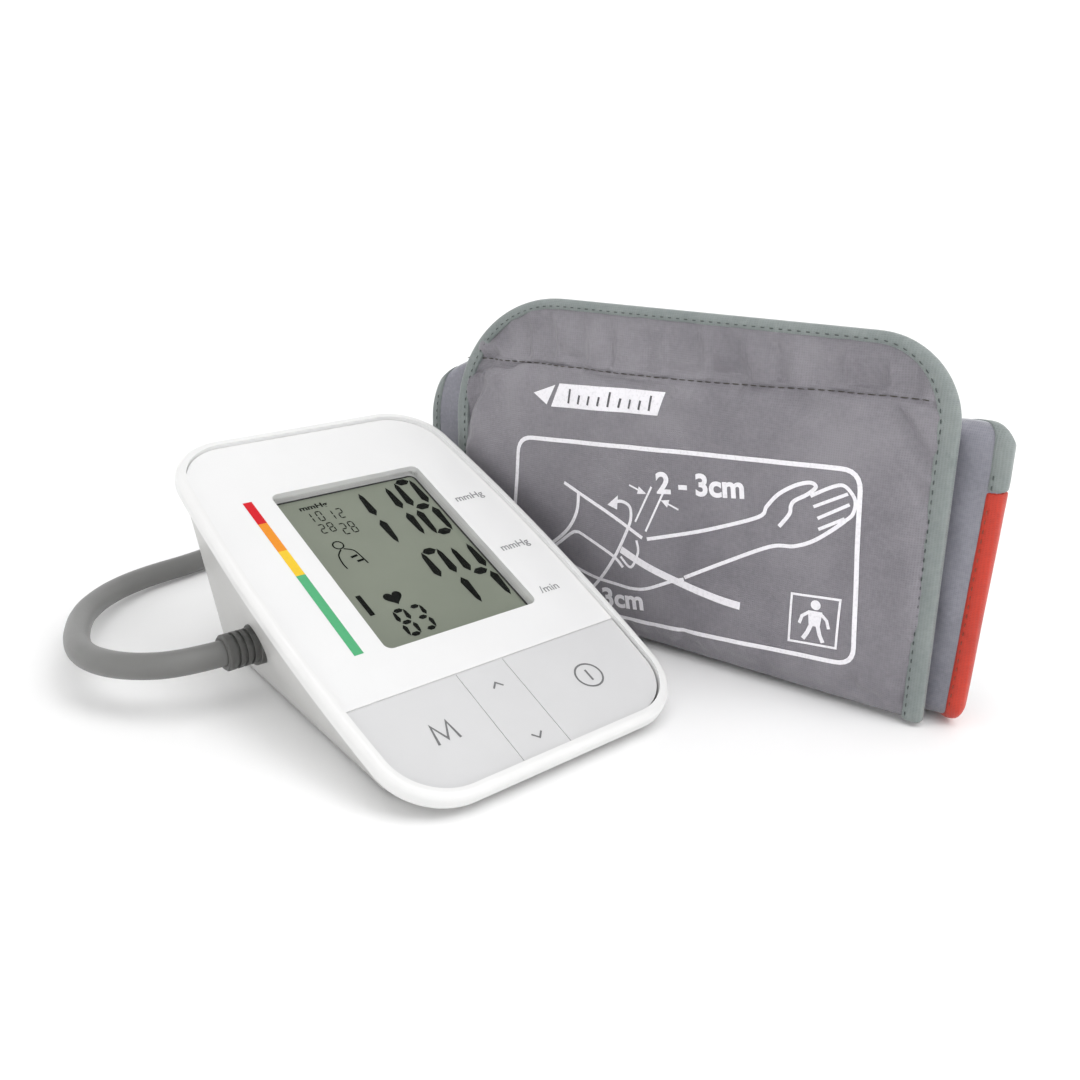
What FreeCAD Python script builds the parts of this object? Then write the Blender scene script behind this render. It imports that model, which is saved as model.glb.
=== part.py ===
import FreeCAD, Part
import math
import os
import re

# Upper arm blood pressure monitor: a wedge-shaped desk monitor, its air hose and a rolled arm cuff.
# Lengths are millimetres. +X is the monitor's right, -Y is towards the user, +Z is up.
# Places are first written from the middle of the line above the keys, on the table ("set frame"),
# and centreX, centreY then move the whole set so that the origin is under its middle.

doc = FreeCAD.newDocument("armMonitor")
sheet = doc.addObject("Spreadsheet::Sheet", "Sizes")
Vec = FreeCAD.Vector

driving = [
    # whole set
    ("centreX", 39.2, "middle of the set, from the key line"),
    ("centreY", 13.7, "middle of the set, from the key line"),
    # monitor case
    ("faceTilt", 24, "slope of the face, degrees"),
    ("faceHeight", 20.56, "height of the face at the key line"),
    ("caseHalf", 52, "half of the case's width at its widest"),
    ("caseBow", 3.9, "how much narrower each side is at its ends"),
    ("caseFront", 37.3, "key line to the front edge, along the face"),
    ("caseRear", 117.2, "key line to the rear edge, along the face"),
    ("caseCorner", 20, "corner radius of the face"),
    ("rimRise", 1.4, "rim above the face"),
    ("rimDrop", 4.2, "underside of the rim below the face"),
    ("rimBand", 3, "width of the rim around the face"),
    ("rimRound", 2, "rounding of the rim"),
    ("rimStep", 2.3, "rim beyond the side wall"),
    ("wall", 2.2, "wall of the lower case"),
    ("footHeight", 1, "rubber feet below the lower case"),
    ("baseFrontHalf", 44.4, "half width of the base at its front"),
    ("baseRearHalf", 34.8, "half width of the base at its rear"),
    ("baseFront", 27, "key line to the front of the base"),
    ("baseRear", 115, "key line to the rear of the base"),
    ("baseCorner", 18, "corner radius of the base"),
    ("pegRadius", 2.5, "screw pegs in the upper case"),
    ("pegBore", 1.2, "bore of a screw peg, radius"),
    ("screwRadius", 1.1, "shank of a case screw"),
    ("screwAcross", 35.2, "case screws, out from the middle"),
    ("screwFront", 5, "key line to the front case screws"),
    ("screwRear", 41, "key line to the rear case screws"),
    ("feetLong", 14, "rubber foot"),
    ("feetWide", 4, "rubber foot"),
    # face
    ("panelThick", 1.6, "face panel"),
    ("windowLeft", 25.3, "display opening, left of the middle"),
    ("windowRight", 29.1, "display opening, right of the middle"),
    ("windowLow", 15.1, "display opening, key line to its lower edge"),
    ("windowHigh", 87.1, "display opening, key line to its upper edge"),
    ("windowCorner", 2.5, "corner radius of the display opening"),
    ("windowDepth", 2, "face down to the display window"),
    ("lensThick", 1.2, "clear display window"),
    ("glassThick", 2.6, "liquid crystal glass"),
    ("glassMargin", 2, "glass beyond the opening"),
    ("frameWall", 1.4, "display frame wall"),
    ("boardDepth", 10.4, "face down to the main board"),
    ("boardThick", 1.6, "circuit boards"),
    # keys
    ("keyGap", 0.4, "running gap around each key"),
    ("keyThick", 1.8, "key caps"),
    ("keyTravel", 0.6, "how far a key goes down"),
    ("rockerLeft", 12.4, "left edge of the rocker key"),
    ("rockerRight", 3.9, "right edge of the rocker key"),
    ("keyBoardDepth", 5.4, "face down to the key board"),
    # air parts
    ("socketY", 60, "air socket along the side"),
    ("socketZ", 17.4, "air socket above the table"),
    ("socketReach", 44.4, "middle of the case to the socket's outer face"),
    ("socketRadius", 6.4, "air socket"),
    ("plugRadius", 5.6, "ribbed plug"),
    ("plugLength", 9.6, "ribbed plug"),
    ("hoseOuter", 8, "hose outside diameter"),
    ("hoseBore", 4, "hose bore"),
    ("fitGap", 0.05, "gap of a push fit"),
    ("nozzleRadius", 3.2, "plug nozzle, in the socket"),
    ("barbRadius", 1.8, "barbs that inner tubes are pushed on"),
    ("pumpRadius", 11.5, "pump motor"),
    ("pumpLong", 32, "pump motor"),
    ("pumpLeft", 18, "left end of the motor, from the middle"),
    ("pumpBehind", 7.75, "pump to the rear of the base"),
    ("pumpRest", 0.6, "pump above the battery tray"),
    ("headLeft", 14, "pump head, left end from the middle"),
    ("headRight", 29, "pump head, right end from the middle"),
    ("outletAcross", 22, "pump outlet, from the middle"),
    ("outletBehind", 4.25, "pump outlet behind the motor's middle line"),
    ("manifoldLeft", 36, "manifold, left end from the middle"),
    ("manifoldRight", 20, "manifold, right end from the middle"),
    ("manifoldY", 70, "manifold, from the key line"),
    ("manifoldZ", 25, "manifold above the table"),
    ("manifoldHalf", 4, "half of the manifold's section"),
    ("valveRadius", 4.6, "exhaust valve"),
    ("valveLong", 12, "exhaust valve"),
    ("tubeOuter", 4, "inner air tubes"),
    ("tubeBore", 1.8, "inner air tubes"),
    # batteries
    ("cellRadius", 7.15, "AA cell"),
    ("cellLength", 50, "AA cell"),
    ("cellGap", 0.4, "between cells"),
    ("firstCell", 53.7, "key line to the first cell"),
    ("cellSlack", 0.4, "cells above the floor of the case"),
    ("traySlack", 1, "cells to the roof of the tray"),
    ("trayWall", 1, "wall of the battery tray"),
    ("trayGap", 0.3, "cells to the ends of the tray"),
    ("trayHalf", 29, "half of the battery tray"),
    ("coverHalf", 27.7, "half of the battery cover"),
    # cuff
    ("cuffBeside", 2.5, "left end of the flap, beyond the case's side"),
    ("cuffLeftY", 90.6, "left end of the flap"),
    ("cuffTurn", -77.2, "direction of the cuff, degrees from +X"),
    ("flapWidth", 176, "outer flap"),
    ("flapHeight", 112, "outer flap"),
    ("flapThick", 5, "outer flap"),
    ("flapSink", 0.4, "the flap's cloth below its binding"),
    ("flapLeftRound", 46, "flap, left top corner"),
    ("flapRightRound", 24, "flap, right top corner"),
    ("bindWidth", 4.2, "edge binding"),
    ("wrapOver", 8, "roll beyond the flap at each end"),
    ("wrapHeight", 91, "roll behind the flap"),
    ("wrapThick", 6, "padded layer of the roll"),
    ("rollDepth", 36, "whole roll, front to back"),
    ("patchThick", 0.5, "hook and loop patches"),
    ("markerTop", 62, "top of the red size marker"),
    ("portHeight", 12, "air port above the table"),
    ("portLength", 6, "air port out of the cuff"),
]
for row, (alias, number, note) in enumerate(driving, start=1):
    sheet.set(f"A{row}", alias)
    sheet.set(f"B{row}", str(number))
    sheet.set(f"C{row}", note)
    sheet.setAlias(f"B{row}", alias)
doc.recompute()
names = {alias for alias, number, note in driving}


class Sizes:
    """Reads one driving size from the sheet: size.caseHalf."""

    def __getattr__(self, alias):
        return float(sheet.get(alias))


size = Sizes()
parts = []
tiltCos = math.cos(math.radians(size.faceTilt))
tiltSin = math.sin(math.radians(size.faceTilt))


def formula(text):
    """An expression over the sheet, written with plain alias names."""
    return re.sub(r"[A-Za-z_]\w*", lambda found: "Sizes." + found[0] if found[0] in names else found[0], text)


def bind(thing, **formulas):
    for prop, text in formulas.items():
        thing.setExpression(prop, formula(str(text)))


def keep(thing, label):
    thing.Label = label
    parts.append(thing)
    return thing


def standPlace(thing, across, along, up):
    """Put a piece upright in the set frame, by expressions."""
    thing.setExpression("Placement.Base.x", formula(f"{across} - centreX"))
    thing.setExpression("Placement.Base.y", formula(f"{along} - centreY"))
    thing.setExpression("Placement.Base.z", formula(str(up)))
    return thing


def facePlace(thing, across, along, out):
    """Put a piece on the sloping face: across it, along it from the key line, and out of it."""
    cosine = "cos(faceTilt * 1 deg)"
    sine = "sin(faceTilt * 1 deg)"
    thing.Placement.Rotation = FreeCAD.Rotation(Vec(1, 0, 0), size.faceTilt)
    thing.setExpression("Placement.Rotation.Angle", formula("faceTilt * 1 deg"))
    thing.setExpression("Placement.Base.x", formula(f"{across} - centreX"))
    thing.setExpression("Placement.Base.y", formula(f"({along}) * {cosine} - ({out}) * {sine} - centreY"))
    thing.setExpression("Placement.Base.z", formula(f"faceHeight + ({along}) * {sine} + ({out}) * {cosine}"))
    return thing


def standFrame():
    return FreeCAD.Placement(Vec(-size.centreX, -size.centreY, 0), FreeCAD.Rotation())


def faceFrame():
    return FreeCAD.Placement(Vec(-size.centreX, -size.centreY, size.faceHeight),
                             FreeCAD.Rotation(Vec(1, 0, 0), size.faceTilt))


def cuffFrame():
    """Cuff: x along the roll from the flap's left end, y back through it, z up."""
    left = size.caseHalf + size.cuffBeside
    return FreeCAD.Placement(Vec(left - size.centreX, size.cuffLeftY - size.centreY, 0),
                             FreeCAD.Rotation(Vec(0, 0, 1), size.cuffTurn))


def feature(label, shape, frame):
    """A piece whose shape is made by Part's functions, in its own frame."""
    thing = doc.addObject("Part::Feature", label)
    thing.Shape = shape
    thing.Placement = frame.multiply(shape.Placement)
    return keep(thing, label)


def block(low, high):
    return Part.makeBox(high[0] - low[0], high[1] - low[1], high[2] - low[2], Vec(*low))


def rod(radius, start, end):
    line = Vec(*end) - Vec(*start)
    return Part.makeCylinder(radius, line.Length, Vec(*start), line)


def faceBox(label, left, right, low, high, bottom, top):
    """A box on the sloping face, bound to the sheet: each edge is a formula."""
    thing = doc.addObject("Part::Box", label)
    bind(thing, Length=f"({right}) - ({left})", Width=f"({high}) - ({low})", Height=f"({top}) - ({bottom})")
    return facePlace(thing, left, low, bottom)


def standBox(label, left, right, front, rear, bottom, top):
    thing = doc.addObject("Part::Box", label)
    bind(thing, Length=f"({right}) - ({left})", Width=f"({rear}) - ({front})", Height=f"({top}) - ({bottom})")
    return standPlace(thing, left, front, bottom)


def lyingRod(label, radius, length, left, along, up):
    """A cylinder that lies along X."""
    thing = doc.addObject("Part::Cylinder", label)
    bind(thing, Radius=radius, Height=length)
    thing.Placement.Rotation = FreeCAD.Rotation(Vec(0, 1, 0), 90)
    return standPlace(thing, left, along, up)


def boolean(kind, label, base, tool):
    thing = doc.addObject("Part::" + kind, label)
    thing.Base = base
    thing.Tool = tool
    return thing


def group(label, pieces):
    """Several pieces in one node."""
    thing = doc.addObject("Part::Compound", label)
    thing.Links = pieces
    return keep(thing, label)


# ---------------------------------------------------------------- outlines

def bowedSlab(inset, bottom, top, corner):
    """The face's outline, drawn in by inset, as a slab: bowed sides and rounded corners."""
    half = size.caseHalf - inset
    end = half - size.caseBow
    front = -size.caseFront + inset
    rear = size.caseRear - inset
    middle = (front + rear) / 2
    places = [(-end, front), (end, front), (end, rear), (-end, rear)]
    corners = [Vec(across, along, bottom) for across, along in places]
    edges = [
        Part.LineSegment(corners[0], corners[1]).toShape(),
        Part.Arc(corners[1], Vec(half, middle, bottom), corners[2]).toShape(),
        Part.LineSegment(corners[2], corners[3]).toShape(),
        Part.Arc(corners[3], Vec(-half, middle, bottom), corners[0]).toShape(),
    ]
    slab = Part.Face(Part.Wire(edges)).extrude(Vec(0, 0, top - bottom))
    return slab.makeFillet(corner, uprightEdges(slab))


def uprightEdges(solid):
    return [edge for edge in solid.Edges
            if len(edge.Vertexes) == 2
            and abs((edge.Vertexes[0].Point - edge.Vertexes[1].Point).normalize().z) > 0.99]


def levelEdges(solid, height):
    """Every edge that lies at one height."""
    return [edge for edge in solid.Edges
            if abs(edge.BoundBox.ZMin - height) < 1e-4 and abs(edge.BoundBox.ZMax - height) < 1e-4]


def levelWire(solid, height):
    for face in solid.Faces:
        if abs(face.BoundBox.ZMin - height) < 1e-4 and abs(face.BoundBox.ZMax - height) < 1e-4:
            return face.OuterWire


def baseOutline(inset, height):
    """The base's outline: narrower at the rear, with rounded corners."""
    front = -size.baseFront + inset
    rear = size.baseRear - inset
    points = [
        Vec(-size.baseFrontHalf + inset, front, height),
        Vec(size.baseFrontHalf - inset, front, height),
        Vec(size.baseRearHalf - inset, rear, height),
        Vec(-size.baseRearHalf + inset, rear, height),
    ]
    slab = Part.Face(Part.makePolygon(points + points[:1])).extrude(Vec(0, 0, 1))
    slab = slab.makeFillet(size.baseCorner - inset, uprightEdges(slab))
    return levelWire(slab, height)


def caseBody(inset, height):
    """The wedge below the rim, drawn in by inset, from the base at a height up to the rim."""
    under = -size.rimDrop
    rimSlab = bowedSlab(size.rimStep + inset, under, under + 1, size.caseCorner - size.rimStep - inset)
    top = levelWire(rimSlab, under)
    tilt = FreeCAD.Placement(Vec(0, 0, size.faceHeight), FreeCAD.Rotation(Vec(1, 0, 0), size.faceTilt))
    top.Placement = tilt.multiply(top.Placement)
    return Part.makeLoft([baseOutline(inset, height), top], True, True)


def caseHeight(along):
    """Height of the rim's underside over a place on the base."""
    return size.faceHeight + along * math.tan(math.radians(size.faceTilt)) - size.rimDrop / tiltCos


# ---------------------------------------------------------------- monitor case

def windowBlock(bottom, top):
    """The display opening's outline as a slab."""
    slab = block((-size.windowLeft, size.windowLow, bottom), (size.windowRight, size.windowHigh, top))
    return slab.makeFillet(size.windowCorner, uprightEdges(slab))


def upperCase():
    """Rounded rim and deck, with the recess for the face, the display opening and the key opening."""
    slab = bowedSlab(0, -size.rimDrop, size.rimRise, size.caseCorner)
    slab = slab.makeFillet(size.rimRound, levelEdges(slab, size.rimRise) + levelEdges(slab, -size.rimDrop))
    corner = size.caseCorner - size.rimBand
    recess = bowedSlab(size.rimBand, -size.panelThick, size.rimRise + 1, corner)
    keys = bowedSlab(size.rimBand, -size.rimDrop - 1, size.rimRise, corner)
    keys = keys.common(block((-99, -99, -50), (99, -size.keyGap, 50)))
    case = slab.cut([recess, keys, windowBlock(-50, 50)])
    pegs = []
    for across, along in screwPlaces():
        peg = rod(size.pegRadius, (across, along, pegFoot()), (across, along, caseHeight(along) + 6))
        peg = peg.cut(rod(size.pegBore, (across, along, 0), (across, along, pegFoot() + 9)))
        pegs.append(peg)
    toFace = faceFrame().inverse().multiply(standFrame())
    below = block((-99, -99, -99), (99, 199, -size.rimDrop))
    for peg in pegs:
        peg.Placement = toFace.multiply(peg.Placement)
        case = case.fuse(peg.common(below))
    return case.removeSplitter()


def pegFoot():
    return size.footHeight + size.wall + 0.1


def screwPlaces():
    """Four screws join the two halves: two below the keys' line, two ahead of the batteries."""
    lines = (size.screwFront, size.screwRear)
    return [(side * size.screwAcross, along) for side in (-1, 1) for along in lines]


def lowerCase():
    """Hollow wedge with a socket hole, screw holes and a channel for the battery cover."""
    outside = caseBody(0, size.footHeight)
    inside = caseBody(size.wall, size.footHeight + size.wall)
    shell = outside.cut(inside)
    hole = rod(size.socketRadius + size.fitGap,
               (-60, size.socketY, size.socketZ), (-20, size.socketY, size.socketZ))
    cuts = [hole] + coverChannel(0.3)
    for across, along in screwPlaces():
        cuts.append(rod(size.screwRadius + 0.4, (across, along, 0), (across, along, 8)))
        cuts.append(rod(size.pegRadius + 0.2, (across, along, 0), (across, along, size.footHeight + 1.2)))
    return shell.cut(cuts)


def coverChannel(gap):
    """The cover slides in a stepped channel that is open at the rear."""
    half = size.coverHalf + gap
    front = coverFront() - gap
    low = size.footHeight
    step = low + 0.9
    top = low + size.wall + 0.01 if gap else low + size.wall - 0.25
    bottom = low - 1 if gap else low + 0.05
    return [
        block((-half + 2, front, bottom), (half - 2, 130, step)),
        block((-half, front, step if gap else step + 0.2), (half, 130, top)),
    ]


def coverFront():
    return size.firstCell - size.cellRadius


def batteryCover():
    outside = caseBody(0.15, size.footHeight)
    narrow, wide = coverChannel(0)
    narrow = narrow.fuse(block((-size.coverHalf + 2, coverFront(), size.footHeight + 0.5),
                               (size.coverHalf - 2, 130, size.footHeight + 1.5)))
    cover = narrow.fuse(wide).common(outside)
    for line in range(4):
        along = size.baseRear - 14 + 2.4 * line
        cover = cover.cut(block((-11, along, 0), (11, along + 1.1, size.footHeight + 0.5)))
    return cover.removeSplitter()


feature("upper_case", upperCase(), faceFrame())
feature("lower_case", lowerCase(), standFrame())
feature("battery_cover", batteryCover(), standFrame())


def facePanel():
    """Thin panel that fills the recess behind the keys, with the display opening."""
    panel = bowedSlab(size.rimBand + 0.12, -size.panelThick, 0, size.caseCorner - size.rimBand)
    panel = panel.cut(block((-99, -99, -9), (99, 0, 9)))
    return panel.cut(windowBlock(-9, 9))


feature("face_panel", facePanel(), faceFrame())

feature("display_window", windowBlock(-size.windowDepth - size.lensThick, -size.windowDepth), faceFrame())

glassTop = "-rimDrop"
glass = faceBox("lcd_glass", "-windowLeft - glassMargin", "windowRight + glassMargin",
                "windowLow - glassMargin", "windowHigh + glassMargin", "-rimDrop - glassThick", glassTop)
keep(glass, "lcd_glass")

frameOut = faceBox("frameOut",
                   "-windowLeft - glassMargin - frameWall", "windowRight + glassMargin + frameWall",
                   "windowLow - glassMargin - frameWall", "windowHigh + glassMargin + frameWall",
                   "-boardDepth", glassTop)
frameIn = faceBox("frameIn", "-windowLeft - glassMargin", "windowRight + glassMargin",
                  "windowLow - glassMargin", "windowHigh + glassMargin", "-boardDepth - 1", "1")
keep(boolean("Cut", "lcd_frame", frameOut, frameIn), "lcd_frame")

strips = []
for name, low in (("stripFront", "windowLow - glassMargin"), ("stripRear", "windowHigh + glassMargin - 2.4")):
    strips.append(faceBox(name, "-windowLeft + 2", "windowRight - 2", low, f"{low} + 2.4",
                          "-boardDepth", "-rimDrop - glassThick"))
group("contact_strips", strips)

board = faceBox("main_board", "-windowLeft - glassMargin - frameWall + 0.2",
                "windowRight + glassMargin + frameWall - 0.2", "windowLow - 7", "windowHigh + 7",
                "-boardDepth - boardThick", "-boardDepth")
keep(board, "main_board")
underBoard = "-boardDepth - boardThick"
keep(faceBox("controller_chip", "-7", "7", "34", "48", f"{underBoard} - 1.4", underBoard), "controller_chip")


def pressureSensor():
    body = block((-22, 56, -3.4), (-12, 66, 0))
    nozzle = rod(1.6, (-17, 61, -7), (-17, 61, -3.4))
    return body.fuse(nozzle).cut(rod(0.7, (-17, 61, -8), (-17, 61, -2)))


def boardFrame():
    """Underside of the main board."""
    drop = FreeCAD.Placement(Vec(0, 0, -size.boardDepth - size.boardThick), FreeCAD.Rotation())
    return faceFrame().multiply(drop)


feature("pressure_sensor", pressureSensor(), boardFrame())
beeper = rod(5, (18, 26, -3.2), (18, 26, 0)).cut(rod(0.8, (18, 26, -4), (18, 26, -1.6)))
feature("beeper", beeper, boardFrame())


# ---------------------------------------------------------------- keys

def keyCap(left, right, stems):
    """A key cap between two lines across the key area, with short stems over its switches."""
    cap = bowedSlab(size.rimBand + size.keyGap, -size.keyThick, 0, size.caseCorner - size.rimBand)
    cap = cap.common(block((left, -99, -9), (right, -size.keyGap - 0.05, 9)))
    for across, along in stems:
        cap = cap.fuse(rod(1.3, (across, along, -size.keyThick - 0.9), (across, along, -size.keyThick + 0.2)))
    return cap.removeSplitter()


def switchPlaces():
    middle = (size.rockerRight - size.rockerLeft) / 2
    return {"memory": [(-29, -15)], "rocker": [(middle, -9), (middle, -21)], "start": [(26, -15)]}


halfGap = size.keyGap / 2
feature("memory_key", keyCap(-99, -size.rockerLeft - halfGap, switchPlaces()["memory"]), faceFrame())
feature("rocker_key",
        keyCap(-size.rockerLeft + halfGap, size.rockerRight - halfGap, switchPlaces()["rocker"]),
        faceFrame())
feature("start_key", keyCap(size.rockerRight + halfGap, 99, switchPlaces()["start"]), faceFrame())
keep(faceBox("key_board", "-36", "33", "-25", "-3", "-keyBoardDepth - 1.2", "-keyBoardDepth"), "key_board")


def keySwitches():
    """Four tactile switches: a square body with a round plunger."""
    switches = []
    floor = -size.keyBoardDepth
    top = -size.keyThick - 0.9 - size.keyTravel - 0.15
    for place in switchPlaces().values():
        for across, along in place:
            body = block((across - 2.6, along - 2.6, floor), (across + 2.6, along + 2.6, top - 0.5))
            switches.append(body.fuse(rod(1.5, (across, along, top - 0.5), (across, along, top))))
    return Part.makeCompound(switches)


feature("key_switches", keySwitches(), faceFrame())

# ---------------------------------------------------------------- batteries

trayTop = "footHeight + wall + cellSlack + 2 * cellRadius + traySlack + trayWall"
trayFront = "firstCell - cellRadius - trayGap - trayWall"
trayRear = "firstCell + 3 * (2 * cellRadius + cellGap) + cellRadius + trayGap + trayWall"
trayOut = standBox("trayOut", "-trayHalf", "trayHalf", trayFront, trayRear, "footHeight + wall", trayTop)
trayIn = standBox("trayIn", "-trayHalf + trayWall", "trayHalf - trayWall", f"{trayFront} + trayWall",
                  f"{trayRear} - trayWall", "footHeight", f"{trayTop} - trayWall")
keep(boolean("Cut", "battery_tray", trayOut, trayIn), "battery_tray")
cellHeight = "footHeight + wall + cellSlack + cellRadius"
for number in range(4):
    along = f"firstCell + {number} * (2 * cellRadius + cellGap)"
    can = lyingRod(f"can{number}", "cellRadius", "cellLength - 1", "-cellLength / 2", along, cellHeight)
    button = lyingRod(f"button{number}", 2.7, 1.4, "cellLength / 2 - 1.2", along, cellHeight)
    keep(boolean("Fuse", f"battery_{number + 1}", can, button), f"battery_{number + 1}")


def batteryContacts():
    """Sprung and flat contact plates at both ends of each cell."""
    height = size.footHeight + size.wall + size.cellSlack + size.cellRadius
    plates = []
    for number in range(4):
        along = size.firstCell + number * (2 * size.cellRadius + size.cellGap)
        for side in (-1, 1):
            outer = side * (size.trayHalf - size.trayWall)
            plate = block((min(outer, outer - side * 0.4), along - 5, height - 5),
                          (max(outer, outer - side * 0.4), along + 5, height + 5))
            reach = side * (size.cellLength / 2 if side < 0 else size.cellLength / 2 + 0.2)
            spring = rod(2.4, (reach, along, height), (outer - side * 0.4, along, height))
            plates.append(plate.fuse(spring))
    return Part.makeCompound(plates)


feature("battery_contacts", batteryContacts(), standFrame())

# ---------------------------------------------------------------- pump and air path

pumpAlong = "baseRear - pumpBehind - pumpRadius"
pumpHeight = f"{trayTop} + pumpRest + pumpRadius"


def pumpMiddle():
    """Middle line of the pump: it lies on the battery tray, against the rear wall."""
    tray = size.footHeight + size.wall + size.cellSlack + 2 * size.cellRadius + size.traySlack + size.trayWall
    return size.baseRear - size.pumpBehind - size.pumpRadius, tray + size.pumpRest + size.pumpRadius


def pumpHead():
    """Diaphragm head on the end of the motor, with its outlet."""
    along, up = pumpMiddle()
    half = size.pumpRadius - 0.1
    across = size.outletAcross
    outlet = along + size.outletBehind
    head = block((size.headLeft, along - half, up - half), (size.headRight, along + half - 0.7, up + half))
    head = head.makeFillet(2.5, [edge for edge in head.Edges if edge.BoundBox.XLength > 10])
    head = head.fuse(rod(size.barbRadius + 0.1,
                         (across, outlet, up + half - 0.4), (across, outlet, up + half + 2.1)))
    return head.cut(rod(size.tubeBore / 2, (across, outlet, up + 6), (across, outlet, up + half + 3)))


pumpMotor = lyingRod("pumpBody", "pumpRadius", "pumpLong", "-pumpLeft", pumpAlong, pumpHeight)
pumpShaft = lyingRod("pumpShaft", 2.6, 3, "-pumpLeft - 3", pumpAlong, pumpHeight)
keep(boolean("Fuse", "pump_motor", pumpMotor, pumpShaft), "pump_motor")
feature("pump_head", pumpHead(), standFrame())
group("case_feet", [
    standBox(f"foot{number}", f"{across} - feetWide / 2", f"{across} + feetWide / 2",
             f"{along} - feetLong / 2", f"{along} + feetLong / 2", "0", "footHeight")
    for number, (across, along) in enumerate([(-37.5, 5), (37.5, 5), (-31.8, 77), (31.8, 77)])
])


def caseScrews():
    screws = []
    for across, along in screwPlaces():
        low = size.footHeight + 0.2
        head = rod(size.pegRadius, (across, along, low), (across, along, low + 1))
        shank = rod(size.screwRadius, (across, along, low + 0.5), (across, along, pegFoot() + 7))
        slot = block((across - 1.6, along - 0.3, low - 1), (across + 1.6, along + 0.3, low + 0.4))
        screws.append(head.fuse(shank).cut(slot))
    return Part.makeCompound(screws)


feature("case_screws", caseScrews(), standFrame())


def turned(profile, along, up):
    """A part turned about an X line: profile is (x, radius) points of the outside, then of the bore."""
    points = [Vec(x, radius, 0) for x, radius in profile]
    face = Part.Face(Part.makePolygon(points + points[:1]))
    solid = face.revolve(Vec(0, 0, 0), Vec(1, 0, 0), 360)
    solid.translate(Vec(0, along, up))
    return solid


def airSocket():
    """Grommet in the side wall that takes the plug's nozzle, with a hose barb inside that points up."""
    face = -size.socketReach
    bore = size.nozzleRadius + size.fitGap
    profile = [
        (face, size.socketRadius), (face + 7, size.socketRadius), (face + 7, 4.6), (face + 14.6, 4.6),
        (face + 14.6, 0), (face + 13, 0), (face + 13, bore), (face, bore),
    ]
    barb = rod(size.barbRadius,
               (barbX(), size.socketY, size.socketZ + 4), (barbX(), size.socketY, size.socketZ + 9))
    body = turned(profile, size.socketY, size.socketZ).fuse(barb)
    return body.cut(rod(size.tubeBore / 2, (barbX(), size.socketY, size.socketZ),
                        (barbX(), size.socketY, size.socketZ + 10)))


def barbX():
    return -size.socketReach + 10.5


def airPlug():
    """Ribbed sleeve over the end of the hose, with three grooves."""
    near = -size.socketReach
    far = near - size.plugLength
    outer = size.plugRadius
    groove = outer - 0.8
    profile = [(near, outer)]
    for rib in range(3):
        start = near - 1.6 - 2.2 * rib
        profile += [(start, outer), (start, groove), (start - 0.9, groove), (start - 0.9, outer)]
    hoseStop = near - 2.6
    profile += [
        (far + 0.6, outer), (far, outer - 0.6), (far, size.hoseOuter / 2 + size.fitGap),
        (hoseStop, size.hoseOuter / 2 + size.fitGap), (hoseStop, size.nozzleRadius + size.fitGap),
        (near, size.nozzleRadius + size.fitGap),
    ]
    return turned(profile, size.socketY, size.socketZ)


def plugNozzle():
    """Stiff tube inside the plug: a barb in the hose and a smooth end in the socket."""
    near = -size.socketReach
    barb = size.hoseBore / 2 - size.fitGap
    profile = [
        (near - 9, barb), (near - 2.6, barb), (near - 2.6, size.nozzleRadius), (near + 12, size.nozzleRadius),
        (near + 12, 1), (near - 9, 1),
    ]
    return turned(profile, size.socketY, size.socketZ)


feature("air_socket", airSocket(), standFrame())
feature("air_plug", airPlug(), standFrame())
feature("plug_nozzle", plugNozzle(), standFrame())


def filletPath(points):
    """Straight runs joined by tangent arcs, each as large as its two runs allow."""
    edges = []
    radii = []
    start = points[0]
    for before, corner, after in zip(points, points[1:], points[2:]):
        into = corner - before
        out = after - corner
        turn = into.getAngle(out)
        shorter = min(into.Length, out.Length)
        radii.append(0.45 * shorter / math.tan(turn / 2))
        into.normalize()
        out.normalize()
        first = corner - into * 0.45 * shorter
        last = corner + out * 0.45 * shorter
        inward = out - into
        inward.normalize()
        middle = corner + inward * radii[-1] * (1 / math.cos(turn / 2) - 1)
        edges.append(Part.LineSegment(start, first).toShape())
        edges.append(Part.Arc(first, middle, last).toShape())
        start = last
    edges.append(Part.LineSegment(start, points[-1]).toShape())
    return Part.Wire(edges), radii


def tube(points, outer, bore):
    path, radii = filletPath(points)
    solids = []
    for diameter in (outer, bore):
        ring = Part.Wire(Part.makeCircle(diameter / 2, points[0], points[1] - points[0]))
        solids.append(path.makePipeShell([ring], True, True))
    return solids[0].cut(solids[1]), path.Length, radii


hoseStart = Vec(-size.socketReach - 2.6, size.socketY, size.socketZ)
portEnd = cuffFrame().multVec(Vec(-size.wrapOver + 4 - size.portLength, size.rollDepth - size.wrapThick / 2,
                                  size.portHeight)) - standFrame().Base
portWay = cuffFrame().Rotation.multVec(Vec(-1, 0, 0))
hosePoints = [
    hoseStart,
    Vec(-65, 60, 17.4),
    Vec(-79, 69.8, 17),
    Vec(-85.5, 87.7, 15.6),
    Vec(-80.5, 112.5, 12),
    Vec(-67, 144, 8),
    Vec(-43.5, 166.5, 5),
    Vec(-11, 172, 4.4),
    Vec(20, 186, 4.4),
    Vec(38, 214, 4.4),
    Vec(41, 250, 4.4),
    Vec(57, 283, 4.4),
    Vec(88, 294, 4.4),
    Vec(114, 276, 4.4),
    Vec(119, 244, 4.4),
    Vec(108, 214, 4.4),
    Vec(93, 186, 4.4),
    Vec(80, 160, 6),
    portEnd + portWay * 26,
    portEnd,
]
hose, hoseLength, hoseRadii = tube(hosePoints, size.hoseOuter, size.hoseBore)
feature("air_hose", hose, standFrame())
print("hose length", round(hoseLength, 1), "radii", [round(radius) for radius in hoseRadii])
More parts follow.
